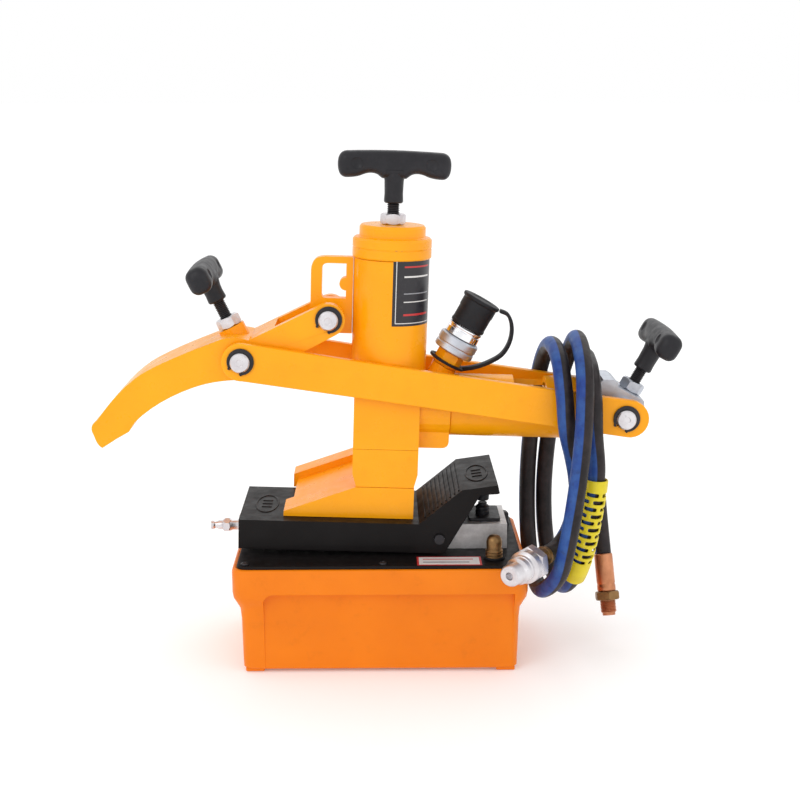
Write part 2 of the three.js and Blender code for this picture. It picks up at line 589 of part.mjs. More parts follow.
// ---------------------------------------------------------------- hose, hung in loops over the arms
const hosePoints = [
  [224, 22, 88], [221, 34, 124], [219, 52, 164], [216, 64, 202], [211, 68, 238], [206, 61, 272],
  [202, 38, 293], [198, 0, 299], [196, -38, 293], [196, -61.7, 270], [197, -65, 240],
  [200, -68, 200], [196, -67, 160], [190, -60, 118], [183, -42, 85], [177, -10, 66], [172, 28, 69],
  [168, 55, 94], [166, 66, 130], [167, 68, 175], [172, 69, 222], [180, 62, 268], [186, 37, 304],
  [187, 2, 320], [187, -38, 312], [186, -70, 290], [184, -84, 246], [178, -91, 188],
  [170, -98, 140], [164, -89, 106], [154, -55, 78], [151, -14, 69], [149, 28, 80], [148, 56, 110],
  [148, 67, 152], [150, 69, 199], [154, 68, 243], [158.5, 59.5, 281], [162, 32, 306],
  [164, -4, 313], [166, -38, 303], [168, -61, 276], [171, -65.5, 242], [179, -52, 213],
  [185, -39, 188], [187, -34, 169], [184, -35.5, 149], [177, -44, 133], [166, -57, 122.5],
  [151, -78, 121],
];

function alongHose(points) {
  const places = points.map(([x, y, z]) => new THREE.Vector3(x, y, z));
  return new THREE.CatmullRomCurve3(places, false, "centripetal");
}

const hoseCurve = alongHose(hosePoints);
const hoseSection = new THREE.Shape(vectors([...Array(8).keys()].map((i) => {
  const a = (i * Math.PI) / 4;
  return [HOSE_R * Math.cos(a), HOSE_R * Math.sin(a)];
})));
const hoseOptions = { steps: HOSE_STEPS, extrudePath: hoseCurve, bevelEnabled: false };
piece(assembly, "hose", solid(new THREE.ExtrudeGeometry(hoseSection, hoseOptions)), hoseRubber);

const guardShape = new THREE.Shape().absarc(0, 0, 12, 0, Math.PI * 2);
guardShape.holes = [new THREE.Path().absarc(0, 0, 10.1, 0, Math.PI * 2)];
const guardPoints = [];
for (let i = GUARD_FROM; i <= GUARD_TO; i++) {
  guardPoints.push(hoseCurve.getPointAt(i / HOSE_STEPS));
}
const guardCurve = new THREE.CatmullRomCurve3(guardPoints);
const guardSteps = GUARD_TO - GUARD_FROM;
const guardOptions = { steps: guardSteps, extrudePath: guardCurve, curveSegments: 6, bevelEnabled: false };
piece(assembly, "hose_guard", solid(new THREE.ExtrudeGeometry(guardShape, guardOptions)), guardPlastic);

function fitting(name, from, towards, profile, sides, material) {
  const axis = towards.clone().sub(from).normalize();
  piece(assembly, name, turned(profile, sides, from, axis), material);
}

const tailEnd = hoseCurve.getPoint(0);
const tailNext = tailEnd.clone().multiplyScalar(2).sub(hoseCurve.getPoint(0.004));
fitting("hose_end", tailEnd, tailNext, [
  [0, GAP], [9.4, GAP], [9.4, 39], [11.8, 39], [11.8, 48], [8.2, 49], [8.2, 63], [7.2, 64], [0, 64],
], 16, copper);

const plugEnd = hoseCurve.getPoint(1);
const plugNext = plugEnd.clone().multiplyScalar(2).sub(hoseCurve.getPoint(0.996));
const adapterProfile = [[0, GAP], [9.8, GAP], [9.8, 16], [8, 17], [8, 22], [0, 22]];
fitting("plug_adapter", plugEnd, plugNext, adapterProfile, 16, brass);
const plugAxis = plugNext.clone().sub(plugEnd).normalize();
const plugNipple = turned([
  [0, 33], [16, 33], [16, 42], [13, 44], [13, 54], [10.4, 57], [10.4, 68], [9, 70], [3.5, 70], [3.5, 62],
  [0, 62],
], 18, plugEnd, plugAxis);
piece(assembly, "plug_nipple", rod(18, 22.3, 35, 6, plugEnd, plugAxis).add(plugNipple), zinc);

export default assembly;
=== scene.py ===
import json
import math

import bmesh
import bpy
from mathutils import Matrix, Vector


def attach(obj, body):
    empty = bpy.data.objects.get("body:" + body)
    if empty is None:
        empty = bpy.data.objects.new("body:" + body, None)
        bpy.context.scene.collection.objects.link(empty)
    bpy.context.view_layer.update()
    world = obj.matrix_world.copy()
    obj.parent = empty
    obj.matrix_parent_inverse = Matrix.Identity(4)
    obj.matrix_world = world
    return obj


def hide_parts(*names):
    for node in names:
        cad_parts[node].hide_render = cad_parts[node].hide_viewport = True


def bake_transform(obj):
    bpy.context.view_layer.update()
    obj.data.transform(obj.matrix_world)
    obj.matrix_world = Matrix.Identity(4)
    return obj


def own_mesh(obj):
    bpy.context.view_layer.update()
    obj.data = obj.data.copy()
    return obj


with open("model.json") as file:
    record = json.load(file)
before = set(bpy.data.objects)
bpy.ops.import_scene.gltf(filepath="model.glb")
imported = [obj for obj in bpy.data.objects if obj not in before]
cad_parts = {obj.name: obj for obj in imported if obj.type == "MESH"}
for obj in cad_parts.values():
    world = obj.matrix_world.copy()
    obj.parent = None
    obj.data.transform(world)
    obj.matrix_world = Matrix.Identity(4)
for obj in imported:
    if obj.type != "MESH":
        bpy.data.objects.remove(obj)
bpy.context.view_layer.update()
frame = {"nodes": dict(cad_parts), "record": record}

# ---------------------------------------------------------------- places, in millimetres
MM = 0.001
CENTRE = Vector((4.1, -5.0, 0.0))
SEAT = Vector((-4.5, 0.0, 146.0))
LEAN = math.radians(1.8)
ROOT = Matrix.Scale(MM, 4) @ Matrix.Translation(CENTRE)
BREAKER = ROOT @ Matrix.Translation(SEAT) @ Matrix.Rotation(LEAN, 4, "Y")

X_AXIS = Vector((1, 0, 0))
Y_AXIS = Vector((0, 1, 0))
Z_AXIS = Vector((0, 0, 1))
ORIGIN = Vector((0, 0, 0))

CLAW_PIN = Vector((-143, 0, 155.5))
LINK_PIN = Vector((-59.7, 0, 196.7))
TAIL_PIN = Vector((231.5, 0, 110))
PIN_R = 9.6
CLAMP_Z = 110
SCREW_LEAN = math.radians(27)
COUPLER_BASE = Vector((53.5, 0, 145))
COUPLER_LEAN = math.radians(27.5)
LID_TOP = 112.3
MOTOR_Z = 128.3


def leaning(angle):
    return Vector((math.sin(angle), 0, math.cos(angle)))


BODIES = frame["record"]["behaviour"]["bodies"]
SLOTS = {part["node"]: part["material_slot"] for part in frame["record"]["subparts"]}


def body_of(node):
    return next(body for body, nodes in BODIES.items() if node in nodes)


# ---------------------------------------------------------------- camera, floor and lights
def aim_camera():
    data = bpy.data.cameras.new("camera")
    data.lens = 62.3
    data.sensor_width = 36
    camera = bpy.data.objects.new("camera", data)
    camera.location = (-0.00325, -1.355, 0.566)
    camera.rotation_euler = (math.radians(77.15), 0, math.radians(-0.8))
    bpy.context.scene.collection.objects.link(camera)
    bpy.context.scene.camera = camera


def area_light(name, place, target, size, watts, colour=(1, 1, 1)):
    data = bpy.data.lights.new(name, "AREA")
    data.shape = "RECTANGLE"
    data.size, data.size_y = size
    data.energy = watts
    data.color = colour
    lamp = bpy.data.objects.new(name, data)
    lamp.location = place
    lamp.rotation_euler = (Vector(target) - Vector(place)).to_track_quat("-Z", "Y").to_euler()
    bpy.context.scene.collection.objects.link(lamp)


def sky():
    """Soft white light all round, which is also what shows behind the object."""
    world = bpy.data.worlds.new("studio")
    world.use_nodes = True
    lighting = world.node_tree.nodes["Background"]
    lighting.inputs["Color"].default_value = (1, 1, 1, 1)
    lighting.inputs["Strength"].default_value = 1.0
    bpy.context.scene.world = world
    bpy.context.scene.view_settings.view_transform = "Standard"


def studio():
    sky()
    middle = (0, 0, 0.22)
    area_light("key", (-1.3, -1.6, 1.7), middle, (1.2, 1.2), 9)
    area_light("fill", (1.7, -1.2, 0.9), middle, (1.4, 1.0), 2)
    area_light("back", (0.4, 1.5, 1.5), middle, (1.6, 0.8), 4)
    data = bpy.data.meshes.new("floor")
    data.from_pydata([(-40, -40, 0), (40, -40, 0), (40, 40, 0), (-40, 40, 0)], [], [(0, 1, 2, 3)])
    floor = bpy.data.objects.new("floor", data)
    floor.location.z = -0.0005
    bpy.context.scene.collection.objects.link(floor)
    floor.data.materials.append(floor_paper())


# ---------------------------------------------------------------- materials
class Look:
    """A Principled material, built up node by node."""

    def __init__(self, name, **values):
        self.material = bpy.data.materials.new(name)
        self.material.use_nodes = True
        self.tree = self.material.node_tree
        self.shader = self.tree.nodes["Principled BSDF"]
        for key, value in values.items():
            self.shader.inputs[key.replace("_", " ")].default_value = value
        self.place = self.tree.nodes.new("ShaderNodeTexCoord").outputs["Object"]

    def link(self, source, target):
        self.tree.links.new(source, target)

    def noise(self, scale, detail=4.0, rough=0.55, stretch=None):
        node = self.tree.nodes.new("ShaderNodeTexNoise")
        node.inputs["Scale"].default_value = scale
        node.inputs["Detail"].default_value = detail
        node.inputs["Roughness"].default_value = rough
        source = self.place
        if stretch:
            mapping = self.tree.nodes.new("ShaderNodeMapping")
            mapping.inputs["Scale"].default_value = stretch
            self.link(self.place, mapping.inputs["Vector"])
            source = mapping.outputs["Vector"]
        self.link(source, node.inputs["Vector"])
        return node.outputs["Fac"]

    def ramp(self, value, low, high, to_low=0.0, to_high=1.0):
        node = self.tree.nodes.new("ShaderNodeMapRange")
        node.inputs["From Min"].default_value = low
        node.inputs["From Max"].default_value = high
        node.inputs["To Min"].default_value = to_low
        node.inputs["To Max"].default_value = to_high
        self.link(value, node.inputs["Value"])
        return node.outputs["Result"]

    def times(self, a, b):
        node = self.tree.nodes.new("ShaderNodeMath")
        node.operation = "MULTIPLY"
        self.link(a, node.inputs[0])
        self.link(b, node.inputs[1])
        return node.outputs[0]

    def mix(self, factor, first, second):
        node = self.tree.nodes.new("ShaderNodeMix")
        node.data_type = "RGBA"
        self.link(factor, node.inputs["Factor"])
        for value, socket in ((first, node.inputs["A"]), (second, node.inputs["B"])):
            if isinstance(value, tuple):
                socket.default_value = (*value, 1)
            else:
                self.link(value, socket)
        return node.outputs["Result"]

    def colour(self, source):
        self.link(source, self.shader.inputs["Base Color"])

    def roughness(self, source):
        self.link(source, self.shader.inputs["Roughness"])

    def bump(self, height, strength, distance):
        node = self.tree.nodes.new("ShaderNodeBump")
        node.inputs["Strength"].default_value = strength
        node.inputs["Distance"].default_value = distance
        self.link(height, node.inputs["Height"])
        self.link(node.outputs["Normal"], self.shader.inputs["Normal"])


def floor_paper():
    """White studio paper that glows a little, so that it stays pale far from the lamps."""
    look = Look("floor_paper", Roughness=0.9, Emission_Color=(1, 1, 1, 1), Emission_Strength=0.12)
    look.colour(look.mix(look.noise(2.0), (0.93, 0.93, 0.93), (0.96, 0.96, 0.96)))
    look.bump(look.noise(300), 0.05, 0.0005)
    return look.material


def enamel(name, bright, deep, under, gloss=0.3, shine=0.5, wear_and_highlight_breakup=False):
    """Sprayed gloss paint: uneven colour, orange peel, small chips. Worn, it is rubbed through in places."""
    look = Look(name, Coat_Weight=shine * 0.5, Coat_Roughness=0.1, Specular_IOR_Level=shine)
    clouds = look.ramp(look.noise(14, 5), 0.3, 0.72)
    base = look.mix(clouds, bright, deep)
    grime = look.ramp(look.noise(55, 8, 0.7), 0.58, 0.8, 0, 0.35)
    base = look.mix(grime, base, tuple(c * 0.7 for c in deep))
    chips = look.ramp(look.noise(210, 3, 0.5, (1, 1, 1.3)), 0.8, 0.81, 0, 0.7)
    base = look.mix(chips, base, under)
    if wear_and_highlight_breakup:
        rubbed = look.ramp(look.noise(120, 6, 0.7), 0.62, 0.68, 0, 0.5)
        base = look.mix(rubbed, base, under)
    look.colour(base)
    look.roughness(look.ramp(look.noise(70, 6, 0.6), 0.3, 0.75, gloss - 0.08, gloss + 0.18))
    look.bump(look.noise(420, 3), 0.15, 0.0005)
    return look.material


def plated(name, colour, tint, rough, grain=None, metallic=1.0):
    """Bare or plated metal: cloudy tint, fine turning marks, darker stains."""
    look = Look(name, Metallic=metallic)
    base = look.mix(look.ramp(look.noise(45, 6, 0.65), 0.35, 0.7), colour, tint)
    stain = look.ramp(look.noise(160, 8, 0.75), 0.6, 0.72, 0, 0.6)
    look.colour(look.mix(stain, base, tuple(c * 0.45 for c in tint)))
    look.roughness(look.ramp(look.noise(90, 6, 0.7), 0.3, 0.75, rough - 0.06, rough + 0.16))
    look.bump(look.noise(260, 4, 0.6, grain), 0.12, 0.0004)
    return look.material


def cast_metal(name, colour, tint):
    look = Look(name, Metallic=0.85)
    base = look.mix(look.ramp(look.noise(60, 8, 0.7), 0.35, 0.7), colour, tint)
    look.colour(base)
    look.roughness(look.ramp(look.noise(200, 6), 0.3, 0.7, 0.42, 0.66))
    look.bump(look.noise(520, 5, 0.7), 0.4, 0.0007)
    return look.material


def moulded(name, colour, dust, rough):
    """Rubber or moulded plastic: matt grain and dusty patches."""
    look = Look(name, Specular_IOR_Level=0.3)
    patches = look.ramp(look.noise(38, 7, 0.7), 0.48, 0.75, 0, 0.55)
    base = look.mix(patches, colour, dust)
    look.colour(base)
    look.roughness(look.ramp(look.noise(120, 5), 0.3, 0.7, rough - 0.07, rough + 0.12))
    look.bump(look.noise(700, 3), 0.2, 0.0004)
    return look.material


def hose_cover():
    """Black cover with a painted blue highlight: a band along the side that faces -X and away from the loops'
    middle; the band follows the tube's own U.
    """
    look = Look("hose_cover", Specular_IOR_Level=0.3)
    uv = look.tree.nodes.new("ShaderNodeTexCoord").outputs["UV"]
    split = look.tree.nodes.new("ShaderNodeSeparateXYZ")
    look.link(uv, split.inputs[0])
    wave = look.tree.nodes.new("ShaderNodeMath")
    wave.operation = "COSINE"
    turn = look.tree.nodes.new("ShaderNodeMath")
    turn.operation = "MULTIPLY"
    turn.inputs[1].default_value = math.tau
    look.link(split.outputs["X"], turn.inputs[0])
    look.link(turn.outputs[0], wave.inputs[0])
    # Painted highlight: a blue band where the tube's U is near 0, on the side that faces -X and away from the
    # loops' middle.
    band = look.ramp(wave.outputs[0], 0.60, 0.66)
    # Noise breaks the painted highlight up in patches and shifts it between two blues.
    wear_and_highlight_breakup = look.ramp(look.noise(160, 6, 0.7), 0.5, 0.72, 1.0, 0.55)
    highlight_variation = look.ramp(look.noise(50, 5), 0.35, 0.7)
    blue = look.mix(highlight_variation, (0.01, 0.045, 0.24), (0.035, 0.11, 0.33))
    dust = look.ramp(look.noise(60, 7, 0.7), 0.42, 0.75)
    black = look.mix(dust, (0.01, 0.007, 0.008), (0.035, 0.024, 0.026))
    # The painted blue highlight is laid over the dusty black.
    look.colour(look.mix(look.times(band, wear_and_highlight_breakup), black, blue))
    look.roughness(look.ramp(look.noise(110, 5), 0.3, 0.7, 0.38, 0.6))
    look.bump(look.noise(650, 3), 0.25, 0.0005)
    return look.material


def print_look(name, colour):
    """Screen-printed vinyl, slightly scuffed."""
    look = Look(name, Roughness=0.35)
    scuff = look.ramp(look.noise(180, 7, 0.75), 0.55, 0.75, 0, 0.45)
    look.colour(look.mix(scuff, colour, tuple(c * 0.6 + 0.05 for c in colour)))
    look.bump(look.noise(300, 3), 0.08, 0.0003)
    return look.material


STEEL_UNDER = (0.16, 0.12, 0.09)
PAINTS = {
    "yellow_paint": ((1.0, 0.4, 0.002), (0.94, 0.35, 0.001), STEEL_UNDER, 0.3, 0.24),
    "orange_paint": ((0.86, 0.215, 0.002), (0.78, 0.18, 0.001), STEEL_UNDER, 0.36, 0.2),
    "black_paint": ((0.006, 0.0045, 0.0045), (0.01, 0.0085, 0.0085), (0.04, 0.038, 0.036), 0.42, 0.1),
}
EDGES = {slot: enamel(slot + "_edge", *values, wear_and_highlight_breakup=True) for slot, values in PAINTS.items()}
LOOKS = {slot: enamel(slot, *values) for slot, values in PAINTS.items()} | {
    "chrome": plated("hard_chrome", (0.9, 0.9, 0.92), (0.8, 0.8, 0.83), 0.1),
    "zinc": plated("zinc_plate", (0.74, 0.72, 0.74), (0.58, 0.54, 0.56), 0.3, (1, 6, 1)),
    "steel": plated("bare_steel", (0.6, 0.63, 0.69), (0.46, 0.48, 0.53), 0.42),
    "cast_aluminium": cast_metal("cast_aluminium", (0.72, 0.71, 0.71), (0.5, 0.49, 0.49)),
    "brass": plated("dull_brass", (0.3, 0.17, 0.07), (0.14, 0.085, 0.04), 0.34),
    "copper": plated("coppered_steel", (0.62, 0.27, 0.14), (0.42, 0.17, 0.085), 0.36),
    "black_steel": plated("black_oxide", (0.035, 0.032, 0.036), (0.02, 0.018, 0.02), 0.38, None, 0.6),
    "black_plastic": moulded("black_moulding", (0.012, 0.0115, 0.0145), (0.03, 0.028, 0.033), 0.42),
    "black_rubber": moulded("black_rubber", (0.007, 0.007, 0.009), (0.02, 0.02, 0.024), 0.55),
    "hose_rubber": hose_cover(),
    "guard_plastic": moulded("yellow_guard", (0.74, 0.6, 0.02), (0.5, 0.37, 0.015), 0.34),
}
LABEL_BLACK = print_look("label_black", (0.016, 0.014, 0.018))
LABEL_WHITE = print_look("label_white", (0.72, 0.7, 0.68))
LABEL_RED = print_look("label_red", (0.55, 0.03, 0.03))
LABEL_GREY = print_look("label_grey", (0.3, 0.3, 0.32))


# ---------------------------------------------------------------- mesh helpers
def new_object(name, bm, matrix, slot_name):
    bmesh.ops.recalc_face_normals(bm, faces=bm.faces)
    mesh = bpy.data.meshes.new(name)
    bm.to_mesh(mesh)
    bm.free()
    mesh.transform(matrix)
    obj = bpy.data.objects.new(name, mesh)
    bpy.context.scene.collection.objects.link(obj)
    mesh.materials.append(LOOKS[slot_name])
    return obj


def baked(obj):
    """Applies every modifier, or turns a curve into its mesh."""
    evaluated = obj.evaluated_get(bpy.context.evaluated_depsgraph_get())
    mesh = bpy.data.meshes.new_from_object(evaluated)
    if obj.type == "MESH":
        obj.modifiers.clear()
        obj.data = mesh
        return obj
    made = bpy.data.objects.new(obj.name, mesh)
    bpy.context.scene.collection.objects.link(made)
    bpy.data.objects.remove(obj)
    return made


def soften(obj, width=0.6, segments=2, angle=32):
    """Rounds the sharp edges by `width` millimetres and smooths the rest."""
    obj.data.shade_smooth()
    bevel = obj.modifiers.new("edges", "BEVEL")
    bevel.width = width * MM
    bevel.segments = segments
    bevel.limit_method = "ANGLE"
    bevel.angle_limit = math.radians(angle)
    bevel.use_clamp_overlap = True
    bevel.harden_normals = True
    edge = next((EDGES[slot] for slot in EDGES if obj.data.materials[0] == LOOKS[slot]), None)
    if edge and edge.name not in obj.data.materials:
        obj.data.materials.append(edge)
        bevel.material = 1
    return obj


def cut(obj, *tools):
    for tool in tools:
        modifier = obj.modifiers.new("cut", "BOOLEAN")
        modifier.operation = "DIFFERENCE"
        modifier.solver = "EXACT"
        modifier.object = tool
    baked(obj)
    for tool in tools:
        bpy.data.objects.remove(tool)
    return obj


def stands_for(obj, *nodes):
    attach(obj, body_of(nodes[0]))
    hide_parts(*nodes)
    return obj


def detail(obj, body, slot_name):
    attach(obj, body)
    return obj


def lathe(name, profile, at, along, matrix=ROOT, slot_name="steel", sides=56, closed=False):
    """(radius, distance) pairs turned round the axis that leaves `at` along `along`."""
    bm = bmesh.new()
    rings = []
    for r, s in profile:
        if r < 1e-6:
            rings.append([bm.verts.new((0, 0, s))])
            continue
        angles = [math.tau * i / sides for i in range(sides)]
        rings.append([bm.verts.new((r * math.cos(a), r * math.sin(a), s)) for a in angles])
    if closed:
        rings.append(rings[0])
    for low, high in zip(rings, rings[1:]):
        for i in range(sides if len(low) + len(high) > 2 else 0):
            j = (i + 1) % sides
            corners = [low[i % len(low)], low[j % len(low)], high[j % len(high)], high[i % len(high)]]
            bm.faces.new(list(dict.fromkeys(corners)))
    turn = Z_AXIS.rotation_difference(along).to_matrix().to_4x4()
    return new_object(name, bm, matrix @ Matrix.Translation(at) @ turn, slot_name)


def block(name, x0, x1, y0, y1, z0, z1, matrix=ROOT, slot_name="steel"):
    bm = bmesh.new()
    bmesh.ops.create_cube(bm, size=1)
    size = Matrix.Diagonal((x1 - x0, y1 - y0, z1 - z0, 1))
    middle = Matrix.Translation(((x0 + x1) / 2, (y0 + y1) / 2, (z0 + z1) / 2))
    return new_object(name, bm, matrix @ middle @ size, slot_name)


def arc(centre, r, start, end, steps=14):
    cx, cz = centre
    angles = [start + (end - start) * i / steps for i in range(steps + 1)]
    return [(cx + r * math.cos(a), cz + r * math.sin(a)) for a in angles]


def slab(name, outline, thick, matrix, slot_name, holes=(), edge=0.8, rounds=2):
    """A flat outline with rounded edges, centred on its plane; outline X and Y become X and Z."""
    data = bpy.data.curves.new(name, "CURVE")
    data.dimensions = "2D"
    data.fill_mode = "BOTH"
    data.extrude = thick / 2 - edge
    data.bevel_depth = edge
    data.bevel_resolution = rounds
    data.offset = -edge
    for points in (outline, *holes):
        spline = data.splines.new("POLY")
        spline.points.add(len(points) - 1)
        for point, (x, z) in zip(spline.points, points):
            point.co = (x, z, 0, 1)
        spline.use_cyclic_u = True
    curve = bpy.data.objects.new(name, data)
    bpy.context.scene.collection.objects.link(curve)
    obj = baked(curve)
    obj.name = name
    obj.data.transform(matrix @ Matrix.Rotation(math.pi / 2, 4, "X"))
    obj.data.materials.clear()
    obj.data.materials.append(LOOKS[slot_name])
    obj.data.shade_smooth()
    obj.data.set_sharp_from_angle(angle=math.radians(50))
    return obj


def carried_over(node, width=0.8, segments=2):
    """A CAD node that keeps its shape: rounded edges and its own finish."""
    obj = frame["nodes"][node]
    obj.data.materials.clear()
    obj.data.materials.append(LOOKS[SLOTS[node]])
    flat = obj.modifiers.new("flat", "DECIMATE")
    flat.decimate_type = "DISSOLVE"
    flat.angle_limit = math.radians(1)
    return soften(obj, width, segments)


def thread(r, s0, s1, pitch=1.75, depth=0.95):
    """The profile of a screw thread, as rings, from s0 to s1."""
    count = round((s1 - s0) / pitch)
    points = []
    for i in range(count):
        s = s0 + i * pitch
        points += [(r - depth, s), (r, s + pitch * 0.45), (r, s + pitch * 0.6)]
    return points + [(r - depth, s1)]


# ---------------------------------------------------------------- hose and what is on it
HOSE_R = 8.5
HOSE_CUTS = 640  # equal pieces of the smooth line
HOSE_STEPS = 50  # the guard's ends are counted in this many parts of the length
GUARD_FROM = 11
GUARD_TO = 14
GUARD_R = 10.9
LOOPS_MIDDLE_Z = 190
HOSE_POINTS = [
    (224, 22, 88), (221, 34, 124), (219, 52, 164), (216, 64, 202), (211, 68, 238), (206, 61, 272),
    (202, 38, 293), (198, 0, 299), (196, -38, 293), (196, -61.7, 270), (197, -65, 240), (200, -68, 200),
    (196, -67, 160),
    (190, -60, 118), (183, -42, 85), (177, -10, 66), (172, 28, 69), (168, 55, 94), (166, 66, 130),
    (167, 68, 175), (172, 69, 222), (180, 62, 268), (186, 37, 304), (187, 2, 320), (187, -38, 312),
    (186, -70, 290), (184, -84, 246), (178, -91, 188), (170, -98, 140), (164, -89, 106), (154, -55, 78),
    (151, -14, 69), (149, 28, 80), (148, 56, 110), (148, 67, 152), (150, 69, 199), (154, 68, 243),
    (158.5, 59.5, 281), (162, 32, 306), (164, -4, 313), (166, -38, 303), (168, -61, 276), (171, -65.5, 242),
    (179, -52, 213), (185, -39, 188), (187, -34, 169), (184, -35.5, 149), (177, -44, 133), (166, -57, 122.5),
    (151, -78, 121),
]


def centripetal(points, per_span=24):
    """The centripetal Catmull-Rom curve through the points, with its first and last span mirrored."""
    ends = [points[0] * 2 - points[1], *points, points[-1] * 2 - points[-2]]
    out = []
    for p0, p1, p2, p3 in zip(ends, ends[1:], ends[2:], ends[3:]):
        d0, d1, d2 = ((b - a).length ** 0.5 for a, b in ((p0, p1), (p1, p2), (p2, p3)))
        m1 = ((p1 - p0) / d0 - (p2 - p0) / (d0 + d1) + (p2 - p1) / d1) * d1
        m2 = ((p2 - p1) / d1 - (p3 - p1) / (d1 + d2) + (p3 - p2) / d2) * d1
        for i in range(per_span):
            t = i / per_span
            a = 2 * t**3 - 3 * t**2 + 1
            b = t**3 - 2 * t**2 + t
            c = -2 * t**3 + 3 * t**2
            d = t**3 - t**2
            out.append(p1 * a + m1 * b + p2 * c + m2 * d)
    return [*out, points[-1].copy()]


def spaced(points, count):
    """The same line as `count` + 1 points at equal distances."""
    lengths = [0.0]
    for a, b in zip(points, points[1:]):
        lengths.append(lengths[-1] + (b - a).length)
    out = []
    j = 0
    for i in range(count + 1):
        s = lengths[-1] * i / count
        while j + 2 < len(lengths) and lengths[j + 1] < s:
            j += 1
        t = (s - lengths[j]) / (lengths[j + 1] - lengths[j])
        out.append(points[j].lerp(points[j + 1], t))
    return out, lengths[-1]


def tube_rings(line, radius, sides):
    """Rings of points round a line. Point 0 of each faces -X and away from the loops' middle."""
    rings = []
    for i, p in enumerate(line):
        ahead = (line[min(i + 1, len(line) - 1)] - line[max(i - 1, 0)]).normalized()
        outward = Vector((0, p.y, p.z - LOOPS_MIDDLE_Z)).normalized()
        toward = outward * 0.7 - X_AXIS
        side = (toward - ahead * toward.dot(ahead)).normalized()
        other = ahead.cross(side)
        angles = [math.tau * k / sides for k in range(sides)]
        rings.append([p + side * radius * math.cos(a) + other * radius * math.sin(a) for a in angles])
    return rings


def tube(name, line, radius, slot_name, sides=28):
    bm = bmesh.new()
    uv = bm.loops.layers.uv.new("along")
    rings = [[bm.verts.new(p) for p in ring] for ring in tube_rings(line, radius, sides)]
    for i, (low, high) in enumerate(zip(rings, rings[1:])):
        for k in range(sides):
            n = (k + 1) % sides
            face = bm.faces.new([low[k], low[n], high[n], high[k]])
            corners = ((k, i), (k + 1, i), (k + 1, i + 1), (k, i + 1))
            for loop, (u, v) in zip(face.loops, corners):
                loop[uv].uv = (u / sides, v / 20)
    bm.faces.new(reversed(rings[0]))
    bm.faces.new(rings[-1])
    obj = new_object(name, bm, ROOT, slot_name)
    obj.data.shade_smooth()
    return obj


def slotted_guard(line):
    """A sleeve with staggered slots between two plain collars."""
    sides = 32
    rows = len(line)
    bm = bmesh.new()
    rings = [[bm.verts.new(p) for p in ring] for ring in tube_rings(line, GUARD_R, sides)]
    for i, (low, high) in enumerate(zip(rings, rings[1:])):
        row, within = divmod(i - 6, 4)
        slotted = 0 <= row < (rows - 18) // 4 and within in (1, 2)
        for k in range(sides):
            if slotted and (k + 4 * (row % 2)) % 8 not in (0, 1):
                continue
            bm.faces.new([low[k], low[(k + 1) % sides], high[(k + 1) % sides], high[k]])
    obj = new_object("bend_guard", bm, ROOT, "guard_plastic")
    wall = obj.modifiers.new("wall", "SOLIDIFY")
    wall.thickness = 1.9 * MM
    wall.offset = 0
    smooth = obj.modifiers.new("smooth", "SUBSURF")
    smooth.levels = 1
    smooth.render_levels = 1
    obj.data.shade_smooth()
    return obj


def hose_set():
    route = [Vector(p) for p in HOSE_POINTS]
    curve = centripetal(route)
    line, length = spaced(curve, HOSE_CUTS)
    hose = stands_for(tube("hose_cover", line, HOSE_R, "hose_rubber"), "hose")
    first = round(HOSE_CUTS * GUARD_FROM / HOSE_STEPS)
    last = round(HOSE_CUTS * GUARD_TO / HOSE_STEPS)
    fine, _ = spaced(line[first : last + 1], 64)
    guard = stands_for(slotted_guard(fine), "hose_guard")

    out = (line[0] - line[3]).normalized()
    profile = [
        (0, 0.3), (8.9, 0.3), (9.5, 1.2), (9.5, 30), (9.1, 31.2), (9.1, 32.2), (9.5, 33.4), (9.5, 37.6),
        (9.0, 39), (7.6, 39.2), (7.6, 48.4), *thread(8.2, 49, 60.5, 1.5, 0.8), (6.6, 62), (6.6, 64), (3, 64),
        (3, 58), (0, 58),
    ]
    ferrule = lathe("hose_ferrule", profile, line[0], out)
    ferrule.data.materials[0] = LOOKS["copper"]
    stands_for(soften(ferrule, 0.3), "hose_end")
    hexagon = hex_prism("hose_end_hex", 23.0, 39.2, 48.2, line[0], out, ROOT, "brass", bore=0)
    detail(hexagon, "arms", "brass")

    tip = line[-1]
    out = (line[-1] - line[-4]).normalized()
    adapter = lathe("plug_adapter_turned", [
        (0, 0.3), (9.2, 0.3), (9.8, 1), (9.8, 5), (9.2, 5.6), (9.2, 7), (9.8, 7.6), (9.8, 15.4), (9.2, 16),
        *thread(8.2, 16.6, 21.6, 1.4, 0.7), (0, 22),
    ], tip, out, ROOT, "brass")
    stands_for(soften(adapter, 0.3), "plug_adapter")
    plug_hex = hex_prism("plug_hex", 31.2, 22.4, 33.2, tip, out, ROOT, "zinc", bore=0)
    nose = lathe("plug_nose", [
        (0, 33), (15.6, 33), (16, 33.6), (16, 41.4), (15.2, 42.2), (13, 44), (13, 47), (12.2, 47.6),
        (12.2, 49.4), (13, 50), (13, 54), (10.6, 56.8), (10.4, 57.4), (10.4, 67.6), (9.6, 69.4), (8.8, 70),
        (4.2, 70), (3.6, 69.4), (3.6, 62), (0, 62),
    ], tip, out, ROOT, "zinc")
    stands_for(soften(nose, 0.3), "plug_nipple")
    detail(plug_hex, "arms", "zinc")


